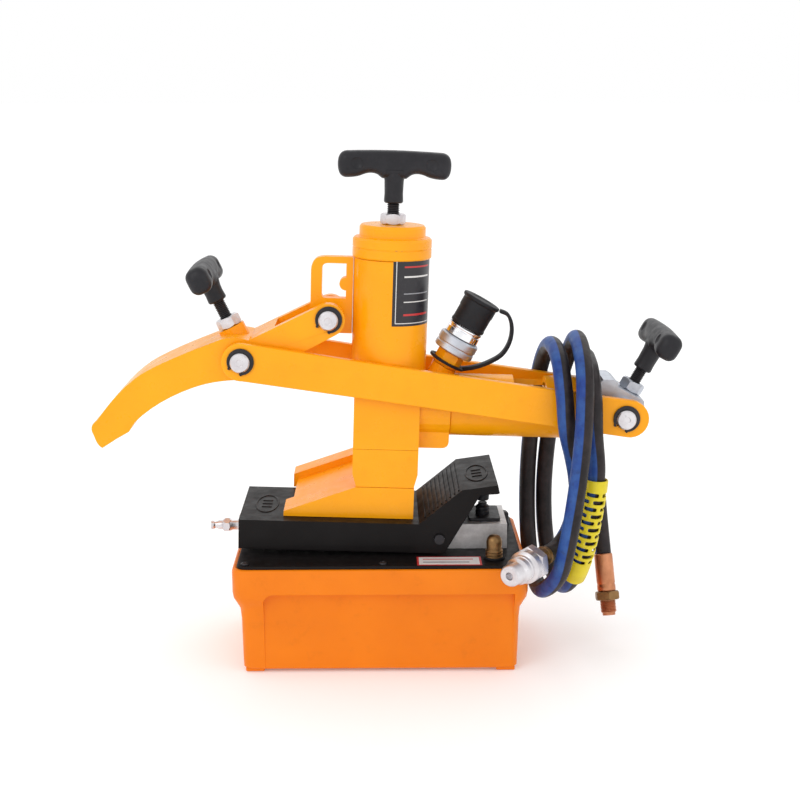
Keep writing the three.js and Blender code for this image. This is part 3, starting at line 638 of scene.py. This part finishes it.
def hex_prism(name, across, s0, s1, at, along, matrix, slot_name, bore=6.3):
    """A hexagon with turned corners: a bar cut back by a cone at both ends."""
    r = across / math.sqrt(3)
    inner = across / 2 - 0.2
    tall = [(inner, s0), (r + 0.1, s0 + 1.6), (r + 0.1, s1 - 1.6), (inner, s1)]
    if bore:
        shape = [(bore, s0), *tall, (bore, s1)]
        turned = lathe(name, shape, at, along, matrix, slot_name, 72, closed=True)
    else:
        turned = lathe(name, [(0, s0), *tall, (0, s1)], at, along, matrix, slot_name, 72)
    bar = lathe("bar", [(0, s0 - 2), (r, s0 - 2), (r, s1 + 2), (0, s1 + 2)], at, along, matrix, slot_name, 6)
    modifier = turned.modifiers.new("hexagon", "BOOLEAN")
    modifier.operation = "INTERSECT"
    modifier.solver = "EXACT"
    modifier.object = bar
    baked(turned)
    bpy.data.objects.remove(bar)
    return soften(turned, 0.35, 2, 25)


aim_camera()
hose_set()


# ---------------------------------------------------------------- press cylinder
def press_cylinder():
    tube_profile = [(27.2, 130.4), (36.6, 130.4), (37, 130.9), (37, 254.8), (36.5, 255.2), (27.2, 255.2)]
    barrel = lathe("cylinder_barrel", tube_profile, ORIGIN, Z_AXIS, BREAKER, "yellow_paint", 96, True)
    stands_for(soften(barrel, 0.3), "cylinder_tube")
    cap_profile = [
        (6.3, 255.6), (37.6, 255.6), (38.6, 256.8), (38.6, 264.6), (38.1, 265), (38.1, 265.6), (38.6, 266),
        (38.6, 273.2), (36.8, 275.4), (33.6, 275.5), (32.3, 276.4), (32.3, 285), (30.4, 287.4), (6.3, 287.5),
    ]
    cap = lathe("cylinder_top_cap", cap_profile, ORIGIN, Z_AXIS, BREAKER, "yellow_paint", 96, True)
    stands_for(soften(cap, 0.5), "cylinder_cap")
    bead = weld_bead("cylinder_weld", 37.2, 131.4)
    detail(bead, "body", "yellow_paint")
    for node in ("foot_wedge", "foot_block", "body_block"):
        carried_over(node, 1.0, 3)
    for node in ("press_ram", "top_pad", "claw_pad", "tail_pad"):
        carried_over(node, 0.3)
    return_spring()


def return_spring():
    """Coils round the press rod, built at one fixed length; on the real tool they close up as the piston
    comes down on them.
    """
    turns, steps, radius, wire, sides = 5, 32, 21.5, 2.2, 10
    low_end, high_end = 135, 219.7
    bm = bmesh.new()
    rings = []
    for i in range(turns * steps + 1):
        a = math.tau * i / steps
        out = Vector((math.cos(a), math.sin(a), 0))
        middle = out * radius + Z_AXIS * (low_end + (high_end - low_end) * i / (turns * steps))
        angles = [math.tau * k / sides for k in range(sides)]
        section = [middle + (out * math.cos(b) + Z_AXIS * math.sin(b)) * wire for b in angles]
        rings.append([bm.verts.new(p) for p in section])
    for low, high in zip(rings, rings[1:]):
        for k in range(sides):
            n = (k + 1) % sides
            bm.faces.new([low[k], low[n], high[n], high[k]])
    bm.faces.new(rings[0])
    bm.faces.new(rings[-1])
    spring = new_object("return_spring", bm, BREAKER, "black_steel")
    spring.data.shade_smooth()
    stands_for(spring, "press_spring")
    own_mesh(spring)


def weld_bead(name, r, z):
    """A ring of overlapping weld ripples round the foot of the tube."""
    bm = bmesh.new()
    sides, section = 240, 8
    rings = []
    for i in range(sides):
        a = math.tau * i / sides
        swell = 1.5 + 0.35 * abs(math.sin(a * 36))
        ring = []
        for k in range(section):
            b = math.tau * k / section
            out = r + swell * math.cos(b) - 0.6
            ring.append(bm.verts.new((out * math.cos(a), out * math.sin(a), z + swell * math.sin(b) * 0.9)))
        rings.append(ring)
    for i in range(sides):
        low, high = rings[i], rings[(i + 1) % sides]
        for k in range(section):
            n = (k + 1) % section
            bm.faces.new([low[k], low[n], high[n], high[k]])
    obj = new_object(name, bm, BREAKER, "yellow_paint")
    obj.data.shade_smooth()
    return obj


# ---------------------------------------------------------------- arms, claw and bracket
ARM_HALF = 17.6
ARM_REACH = 4.5  # the tail end's rounding starts this far past its pin
ARM_BEND = Vector((15, 0, 136.2))


def arm_outline():
    down = (ARM_BEND - CLAW_PIN).normalized()
    level = (TAIL_PIN - ARM_BEND).normalized()
    start = math.atan2(down.z, down.x)
    end = math.atan2(level.z, level.x)
    left = arc((CLAW_PIN.x, CLAW_PIN.z), ARM_HALF + 0.6, start + math.pi / 2, start + math.pi * 1.5)
    right = arc((TAIL_PIN.x + ARM_REACH, TAIL_PIN.z), ARM_HALF + 0.6, end - math.pi / 2, end + math.pi / 2)
    below = bend_round(left[-1], (ARM_BEND.x, ARM_BEND.z - ARM_HALF), right[0])
    above = bend_round(right[-1], (ARM_BEND.x, ARM_BEND.z + ARM_HALF), left[0])
    return [*left, *below, *right, *above]


def bend_round(before, corner, after, reach=26, steps=6):
    """A quadratic curve that eases a line round a corner."""
    b, c, a = (Vector(p) for p in (before, corner, after))
    start = c + (b - c).normalized() * reach
    end = c + (a - c).normalized() * reach
    out = []
    for i in range(steps + 1):
        t = i / steps
        p = start * (1 - t) ** 2 + c * 2 * t * (1 - t) + end * t * t
        out.append((p.x, p.y))
    return out


def circle(pin, r, steps=48):
    return arc((pin.x, pin.z), r, 0, math.tau * (steps - 1) / steps, steps - 1)


def arms():
    holes = [circle(CLAW_PIN, PIN_R + 0.3), circle(TAIL_PIN, PIN_R + 0.3)]
    for side, name in ((-42.4, "near"), (42.4, "far")):
        place = BREAKER @ Matrix.Translation((0, side, 0))
        plate = slab("arm_plate_" + name, arm_outline(), 9.6, place, "yellow_paint", holes, 0.9)
        stands_for(plate, "arm_" + name)
    carried_over("claw", 1.6, 3)
    carried_over("hanger_bracket", 1.0, 3)
    for name, pin, half, face in (
        ("claw", CLAW_PIN, 52, 47.2), ("link", LINK_PIN, 40, 35), ("tail", TAIL_PIN, 52, 47.2),
    ):
        turned_pin(name, pin, half, face)
        for side in ("near", "far"):
            circlip(name, pin, face + 1.3, side)


def turned_pin(name, pin, half, face):
    groove = face + 1.2
    side = [
        (0, half - 0.4), (3.2, half - 0.4), (3.6, half), (PIN_R - 1.4, half), (PIN_R, half - 1.4),
        (PIN_R, groove + 1.3), (PIN_R - 0.8, groove + 1.3), (PIN_R - 0.8, groove - 1.1),
        (PIN_R, groove - 1.1),
    ]
    profile = [*side, *[(r, -s) for r, s in reversed(side)]]
    obj = lathe(name + "_pin_turned", profile, pin, Y_AXIS, BREAKER, "zinc", 56)
    stands_for(soften(obj, 0.25), name + "_pin")


def circlip(name, pin, reach, side):
    """An external circlip: a C that is widest opposite its gap, with a holed lug at each end."""
    gap = math.radians(24)
    middle = math.radians(-118)
    inner = arc((0, 0), PIN_R - 0.3, middle + gap, middle + math.tau - gap, 44)
    shift_x = 0.9 * math.cos(middle + math.pi)
    shift_z = 0.9 * math.sin(middle + math.pi)
    outer = []
    for i in range(45):
        f = i / 44
        a = middle + math.tau - gap - f * (math.tau - 2 * gap)
        outer.append((shift_x + 13 * math.cos(a), shift_z + 13 * math.sin(a)))
    lugs = []
    for sign in (1, -1):
        a = middle + sign * (gap + 0.16)
        lugs.append(arc((12.2 * math.cos(a), 12.2 * math.sin(a)), 0.9, 0, math.tau * 11 / 12, 11))
    y = -reach if side == "near" else reach
    place = BREAKER @ Matrix.Translation((pin.x, y, pin.z))
    obj = slab(name + "_clip_" + side, [*inner, *outer], 1.7, place, "black_steel", lugs, 0.25, 1)
    stands_for(obj, name + "_circlip_" + side)


# ---------------------------------------------------------------- clamp ram
def clamp():
    at = Vector((0, 0, CLAMP_Z))
    profile = [(24.6, 62), (30.4, 62), (31, 62.6), (31, 189.6), (30.6, 190), (24.6, 190)]
    barrel = lathe("clamp_barrel", profile, at, X_AXIS, BREAKER, "yellow_paint", 88, True)
    window = block("window", 124, 156, -20, 20, CLAMP_Z + 14, CLAMP_Z + 40, BREAKER)
    stands_for(soften(cut(barrel, window), 0.6), "clamp_tube")
    gland = [(21.9, 190.4), (30.2, 190.4), (31, 191.2), (31, 196.6), (29.6, 198), (24, 198), (21.9, 196.4)]
    stands_for(soften(lathe("clamp_gland_ring", gland, at, X_AXIS, BREAKER, "yellow_paint", 88, True), 0.3),
               "clamp_gland")
    rod = [(0, 66), (24.1, 66), (24.1, 80), (21.5, 80.4), (21.5, 203.4), (20.9, 204), (0, 204)]
    stands_for(soften(lathe("clamp_piston_rod", rod, at, X_AXIS, BREAKER, "chrome", 72), 0.3), "clamp_ram")
    carried_over("trunnion_block", 1.0, 3)
    carried_over("ram_base", 0.8)


# ---------------------------------------------------------------- T-handle locking screws
def handle_outline():
    def curve(a, b, c, steps=8):
        a, b, c = Vector(a), Vector(b), Vector(c)
        points = []
        for i in range(steps):
            t = i / steps
            p = a * (1 - t) ** 2 + b * 2 * t * (1 - t) + c * t * t
            points.append((p.x, p.y))
        return points

    half = [
        *curve((0, 13.9), (26, 13.6), (46, 12.6)),
        *curve((46, 12.6), (55.6, 11.6), (54.6, -2)),
        *curve((54.6, -2), (53.8, -13), (46, -13)),
        *curve((46, -13), (36, -12.8), (30, -9.8)),
        *curve((30, -9.8), (22, -6.6), (16, -9.6)),
        *curve((16, -9.6), (13.6, -11.6), (11.5, -13)),
        (11.5, -13),
    ]
    return [*half, *[(-x, z) for x, z in reversed(half[1:])]]


def locking_screw(name, at, along, bar_along, s):
    """s: where the pad ends, the nut starts, the hub starts and the bar's middle is, from `at`."""
    ridges = thread(6, s["screw"] + 1, s["hub"] - 0.4)
    profile = [(0, s["screw"]), (5, s["screw"]), *ridges, (0, s["hub"] - 0.3)]
    screw = lathe(name + "_screw_threaded", profile, at, along, BREAKER, "black_steel", 32)
    screw.data.shade_smooth()
    screw.data.set_sharp_from_angle(angle=math.radians(70))
    stands_for(screw, name + "_screw")
    finish = SLOTS[name + "_nut"]
    nut = hex_prism(name + "_locknut", 21.5, s["nut"], s["nut"] + 10.4, at, along, BREAKER, finish)
    stands_for(nut, name + "_nut")

    across = bar_along.cross(along)
    turn = Matrix((bar_along, -across, along)).transposed().to_4x4()
    place = BREAKER @ Matrix.Translation(at + along * s["bar"]) @ turn
    bar = slab(name + "_bar", handle_outline(), 22, place, "black_plastic", (), 8.6, 6)
    hollow = [(0, -4), (5.4, -2.2), (7.4, 0), (5.4, 2.2), (0, 4)]
    for x in (-36, 36):
        for y in (-1, 1):
            scoop = lathe("scoop", hollow, Vector((x, y * 12.6, 1)), Y_AXIS, place)
            cut(bar, scoop)
    bar.data.shade_smooth()
    bar.data.set_sharp_from_angle(angle=math.radians(38))
    hub = lathe(name + "_hub", [
        (0, s["hub"]), (8.2, s["hub"]), (9.4, s["hub"] + 1.4), (9.0, s["hub"] + 9), (9.4, s["bar"] - 15),
        (10.6, s["bar"] - 9), (10.6, s["bar"] - 6), (0, s["bar"] - 6),
    ], at, along, BREAKER, "black_plastic", 40)
    soften(hub, 0.5)
    stands_for(bar, name + "_handle")
    detail(hub, body_of(name + "_handle"), "black_plastic")


def locking_screws():
    top = {"screw": 250, "nut": 287.8, "hub": 308, "bar": 344.5}
    claw = {"screw": 13.5, "nut": 30.3, "hub": 58, "bar": 87}
    tail = {"screw": 13.5, "nut": 21.8, "hub": 46, "bar": 81}
    locking_screw("top", ORIGIN, Z_AXIS, X_AXIS, top)
    locking_screw("claw", CLAW_PIN, leaning(-SCREW_LEAN), Y_AXIS, claw)
    locking_screw("tail", TAIL_PIN, leaning(SCREW_LEAN), Y_AXIS, tail)


# ---------------------------------------------------------------- hydraulic coupler
def coupler():
    axis = leaning(COUPLER_LEAN)
    adapter = hex_prism("coupler_hex", 24.4, 5, 20, COUPLER_BASE, axis, BREAKER, "yellow_paint", bore=0)
    stands_for(adapter, "coupler_adapter")
    collar = lathe("coupler_ring", [
        (0, 20.4), (19.4, 20.4), (20.4, 21.6), (20.4, 26), (19.7, 26.6), (19.7, 28), (20.4, 28.6),
        (20.4, 35.2), (19, 36.9), (0, 36.9),
    ], COUPLER_BASE, axis, BREAKER, "steel", 72)
    stands_for(soften(collar, 0.4), "coupler_collar")
    sleeve = lathe("coupler_body", [
        (0, 37.4), (17.4, 37.4), (18, 38), (18, 44), (17.2, 44.6), (17.2, 46), (18, 46.6), (18, 48.2),
        (14.6, 48.6), (14.6, 60), (13.6, 61), (13.6, 64), (14.6, 65), (14.6, 73), (13.4, 74), (0, 74),
    ], COUPLER_BASE, axis, BREAKER, "chrome", 72)
    stands_for(soften(sleeve, 0.3), "coupler_sleeve")
    cap = lathe("coupler_dust_cap", [
        (15.3, 49.2), (17.2, 49.2), (17.8, 50), (17.8, 52.4), (17.3, 53), (17.3, 66), (17.8, 67), (17.8, 76),
        (19.2, 77), (19.6, 78.4), (19.4, 80), (17.8, 80.5), (12, 80.3), (11.4, 79.6), (0, 79.6), (0, 75),
        (15.3, 75),
    ], COUPLER_BASE, axis, BREAKER, "black_rubber", 72, True)
    stands_for(soften(cap, 0.4), "dust_cap")
    strap()


def strap():
    axis = leaning(COUPLER_LEAN)
    route = [
        (108.5, 205.5), (116, 202), (120.5, 191), (119.5, 176), (112.5, 162.5), (100, 154), (86, 148.5),
        (72.5, 146),
    ]
    line = centripetal([Vector((x, 0, z)) for x, z in route], 8)
    bm = bmesh.new()
    section = [
        (-5.5, -1.1), (-4.7, -1.7), (4.7, -1.7), (5.5, -1.1), (5.5, 1.1), (4.7, 1.7), (-4.7, 1.7),
        (-5.5, 1.1),
    ]
    rings = []
    for i, p in enumerate(line):
        ahead = (line[min(i + 1, len(line) - 1)] - line[max(i - 1, 0)]).normalized()
        side = ahead.cross(Y_AXIS)
        rings.append([bm.verts.new(p + Y_AXIS * y + side * z) for y, z in section])
    for low, high in zip(rings, rings[1:]):
        for k in range(len(section)):
            n = (k + 1) % len(section)
            bm.faces.new([low[k], low[n], high[n], high[k]])
    bm.faces.new(rings[0])
    bm.faces.new(rings[-1])
    band = new_object("cap_tether", bm, BREAKER, "black_rubber")
    band.data.shade_smooth()
    band.data.set_sharp_from_angle(angle=math.radians(50))
    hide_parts("cap_strap")
    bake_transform(band)
    loop = lathe("tether_ring", [(15, 8.4), (18.6, 8.4), (19, 8.8), (19, 10.6), (18.6, 11), (15, 11)],
                 COUPLER_BASE, axis, BREAKER, "black_rubber", 64, True)
    detail(soften(loop, 0.3), "body", "black_rubber")


# ---------------------------------------------------------------- foot pump
def tank():
    rows = []
    left, right, near, far = -153, 135.5, -85, 88
    levels = [
        (3, 11), (5, 9), (30, 8.4), (55, 8), (66, 7), (73, 3.6), (78, 1), (84, 0), (105.5, 0), (108.2, 0.8),
        (109, 2.4), (108.6, 4.2), (94, 5), (86, 13), (55, 13), (9, 15), (7, 17),
    ]
    bm = bmesh.new()
    for z, inset in levels:
        r = max(13 - inset / 2, 5)
        ring = []
        corners = ((right - inset - r, far - inset - r), (left + inset + r, far - inset - r),
                   (left + inset + r, near + inset + r), (right - inset - r, near + inset + r))
        for i, (cx, cy) in enumerate(corners):
            for k in range(11):
                a = (i + k / 10) * math.pi / 2
                ring.append(bm.verts.new((cx + r * math.cos(a), cy + r * math.sin(a), z)))
        rows.append(ring)
    for low, high in zip(rows, rows[1:]):
        for k in range(len(low)):
            n = (k + 1) % len(low)
            bm.faces.new([low[k], low[n], high[n], high[k]])
    bm.faces.new(rows[0])
    bm.faces.new(rows[-1])
    shell = new_object("tank_shell", bm, ROOT, "orange_paint")
    corner = [(-112.6 - 10 * math.cos(a), 74 + 10 * math.sin(a)) for a in (0.4, 0.8, 1.2, 1.5)]
    recess = [(-122.6, -8), (-122.6, 74), *corner, (122, 84), (122, -8)]
    for side, y in (("near", -87.4), ("far", 90.4)):
        place = ROOT @ Matrix.Translation((0, y, 0))
        tool = slab("recess_" + side, recess, 24, place, "orange_paint", (), 1.2)
        cut(shell, tool)
    stands_for(soften(shell, 0.9, 3, 28), "tank")
    for i, (x, y) in enumerate(((-132.5, -59.5), (-132.5, 62.5), (115, -59.5), (115, 62.5))):
        pad = block("tank_foot_%d" % i, x - 9.3, x + 9.3, y - 14, y + 14, 0, 4.6, ROOT, "orange_paint")
        detail(soften(pad, 1.2, 3), "pump", "orange_paint")


def rounded(x0, x1, y0, y1, r):
    corners = ((x1 - r, y1 - r, 0), (x0 + r, y1 - r, 1), (x0 + r, y0 + r, 2), (x1 - r, y0 + r, 3))
    out = []
    for cx, cy, i in corners:
        out += arc((cx, cy), r, i * math.pi / 2, (i + 1) * math.pi / 2, 8)
    return out


FLAT = Matrix.Rotation(-math.pi / 2, 4, "X")  # turns a slab's plane from upright to level


def lid():
    place = ROOT @ Matrix.Translation((0, 0, 110.8)) @ FLAT
    outline = rounded(-148, 130.5, -83, 80, 9)
    stands_for(slab("tank_cover", outline, 3, place, "black_paint", (), 0.7), "tank_lid")
    spots = [(-140, -76), (-140, 77), (122, -76), (122, 77), (-6, -76), (-6, 77)]
    for i, (x, y) in enumerate(spots):
        head = [(0, 0), (4, 0), (4, 0.8), (3.2, 1.9), (1.6, 2.4), (1.1, 1.5), (0, 1.5)]
        screw = lathe("lid_screw_%d" % i, head, Vector((x, y, LID_TOP)), Z_AXIS, ROOT, "black_steel", 28)
        detail(soften(screw, 0.2), "pump", "black_steel")


def pump():
    carried_over("pump_body", 2.2, 3)
    carried_over("oil_strainer", 0.4)
    carried_over("pedal_pin", 0.6)
    carried_over("air_piston", 0.3)
    at = Vector((0, 0, MOTOR_Z))
    barrel = [
        (8.5, -140), (8.5, 40), (11.0, 40), (11.4, 39.6), (11.4, -128), (11.0, -129), (11.0, -131),
        (11.4, -132), (11.4, -150.6), (10.4, -152), (3.5, -152), (3.5, -140),
    ]
    stands_for(soften(lathe("motor_barrel", barrel, at, X_AXIS, ROOT, "cast_aluminium", 56, True), 0.3),
               "air_motor_barrel")
    nipple = [
        (0, -179.5), (2.2, -179.5), (2.4, -181), (4.0, -181), (4.4, -180.4), (4.4, -178), (3.4, -176.4),
        (3.5, -175), (4.6, -173), (4.6, -169), (5.2, -168.6), (6.2, -168), (6.2, -160.6), (5.2, -159),
        (5.2, -152.4), (0, -152.4),
    ]
    stands_for(soften(lathe("air_inlet", nipple, at, X_AXIS, ROOT, "zinc", 40), 0.25), "air_nipple")
    nut = hex_prism("air_inlet_hex", 12.4, -167.6, -161, at, X_AXIS, ROOT, "zinc", bore=0)
    detail(nut, "pump", "zinc")
    valve_parts()


def valve_parts():
    at = Vector((95, -6, 141.3))
    place = ROOT @ Matrix.Translation((0, 0, 139.9)) @ FLAT
    plate = slab("valve_plate", rounded(80, 112, -24, 20, 3), 3, place, "black_plastic", (), 0.6)
    stands_for(plate, "release_valve")
    stem = [
        (0, -0.4), (7, -0.4), (7, 3.4), (6.4, 4), (6.4, 5), (7, 5.6), (7, 7.6), (6.2, 8.6), (4.5, 9.2),
        (4.5, 12), (0, 12),
    ]
    pillar = lathe("valve_stem", stem, at, Z_AXIS, ROOT, "black_plastic", 40)
    detail(soften(pillar, 0.3), "pump", "black_plastic")
    knob = [(0, 14.6), (5.8, 14.6), (6.4, 15.2), (6.6, 19.8), (5.8, 21.4), (4.4, 22), (0, 21.6)]
    button = lathe("valve_button", knob, at, Z_AXIS, ROOT, "black_plastic", 40)
    stands_for(soften(button, 0.3), "release_knob")
    dome = [
        (0, 0.3), (8.4, 0.3), (8.6, 0.8), (8.6, 2.6), (8, 3), (8, 3.6), (8.6, 4), (8.6, 6), (8, 6.4), (8, 7),
        (8.6, 7.4), (8.6, 8.8), (7.4, 9.8), (7.6, 12), (7.8, 17), (7.0, 20.4), (5.2, 22.8), (2.6, 23.9),
        (0, 24),
    ]
    seat = Vector((103, -60, LID_TOP))
    breather = lathe("breather_dome", dome, seat, Z_AXIS, ROOT, "brass", 40)
    stands_for(soften(breather, 0.2), "breather")
    seal = [(8.7, 0.4), (10.4, 0.4), (10.4, 2.2), (8.7, 2.2)]
    gasket = lathe("breather_gasket", seal, seat, Z_AXIS, ROOT, "black_rubber", 40, True)
    detail(soften(gasket, 0.3), "pump", "black_rubber")
    cap = [(0, 0.3), (8.4, 0.3), (8.4, 3), (7.8, 3.4), (7.8, 11), (7.4, 12.4), (6, 14), (3, 14.5), (0, 14.5)]
    filler = lathe("oil_filler_cap", cap, Vector((119, 48, LID_TOP)), Z_AXIS, ROOT, "black_plastic", 24)
    stands_for(soften(filler, 0.3), "filler_cap")


RAMP_START = 34
RAMP_RISE = 35.85
RAMP_RUN = 41


def pedal():
    carried_over("pedal", 1.2, 3)
    slope = Matrix.Rotation(-math.atan2(RAMP_RISE, RAMP_RUN), 4, "Y")
    for i in range(9):
        x = 40 + i * 4.0
        z = -0.2 + (x - RAMP_START) * RAMP_RISE / RAMP_RUN
        place = BREAKER @ Matrix.Translation((x, 6, z)) @ slope
        rib = block("ramp_rib_%d" % i, -0.8, 0.8, -52, 52, -0.6, 0.9, place, "black_paint")
        detail(soften(rib, 0.4), "pedal", "black_paint")
    for name, x, y, z, tilt in (("left", -119, 4, -0.35, 0), ("right", 92, 2, 38.5, math.atan2(6, 35))):
        place = BREAKER @ Matrix.Translation((x, y, z)) @ Matrix.Rotation(-tilt, 4, "Y")
        place = place @ Matrix.Diagonal((1, 2.6, 1, 1))
        oval = [(9.8, -0.4), (12, -0.4), (11.6, 0.8), (10.2, 0.8)]
        ring = lathe("pad_oval_" + name, oval, ORIGIN, Z_AXIS, place, "black_paint", 56, True)
        detail(soften(ring, 0.3), "pedal", "black_paint")
        for k in range(3):
            low = -4.6 + 4 * k
            high = -3.2 + 4 * k
            bar = block("pad_bar_%s_%d" % (name, k), -5, 5, low, high, -0.4, 0.7, place, "black_paint")
            detail(soften(bar, 0.3), "pedal", "black_paint")


# ---------------------------------------------------------------- labels, all of them without words
def curved_label(name, r, z0, z1, a0, a1, matrix, look):
    bm = bmesh.new()
    steps = 24
    rings = []
    for z in (z0, z1):
        angles = [a0 + (a1 - a0) * i / steps for i in range(steps + 1)]
        rings.append([bm.verts.new((r * math.cos(a), r * math.sin(a), z)) for a in angles])
    for i in range(steps):
        bm.faces.new([rings[0][i], rings[0][i + 1], rings[1][i + 1], rings[1][i]])
    obj = new_object(name, bm, matrix, "black_plastic")
    obj.data.materials[0] = look
    obj.data.shade_smooth()
    return detail(obj, "body", "black_plastic")


GROUND_R = 37.12  # just proud of the tube, whose radius is 37
PRINT_R = 37.2


def tube_label():
    start, end = math.radians(-88), math.radians(-8)
    curved_label("label_ground", GROUND_R, 193, 260, start, end, BREAKER, LABEL_BLACK)
    for i, z in enumerate((195.4, 256.8)):
        curved_label("label_rule_%d" % i, PRINT_R, z, z + 0.8, start + 0.09, end - 0.09, BREAKER, LABEL_WHITE)
    for i, a in enumerate((start + 0.08, end - 0.1)):
        curved_label("label_side_%d" % i, PRINT_R, 195.4, 257.6, a, a + 0.02, BREAKER, LABEL_WHITE)
    for i, (z, high, look) in enumerate((
        (249.5, 1.6, LABEL_RED), (240, 1.6, LABEL_WHITE), (224, 1, LABEL_GREY),
        (216, 1, LABEL_WHITE), (203, 2, LABEL_RED),
    )):
        curved_label("label_line_%d" % i, PRINT_R, z, z + high, start + 0.3, end - 0.2, BREAKER, look)


def flat_label():
    for name, x0, x1, y0, y1, look, z in (
        ("lid_label_edge", 27, 90, -81, -56, LABEL_RED, 0.05),
        ("lid_label_ground", 29, 88, -79, -58, LABEL_WHITE, 0.15),
        ("lid_label_line_0", 33, 82, -65, -63, LABEL_RED, 0.25),
        ("lid_label_line_1", 33, 78, -74, -71, LABEL_GREY, 0.25),
    ):
        obj = block(name, x0, x1, y0, y1, LID_TOP + z, LID_TOP + z + 0.15, ROOT, "black_plastic")
        obj.data.materials[0] = look
        detail(obj, "pump", "black_plastic")


studio()
press_cylinder()
arms()
clamp()
locking_screws()
coupler()
tank()
lid()
pump()
pedal()
tube_label()
flat_label()
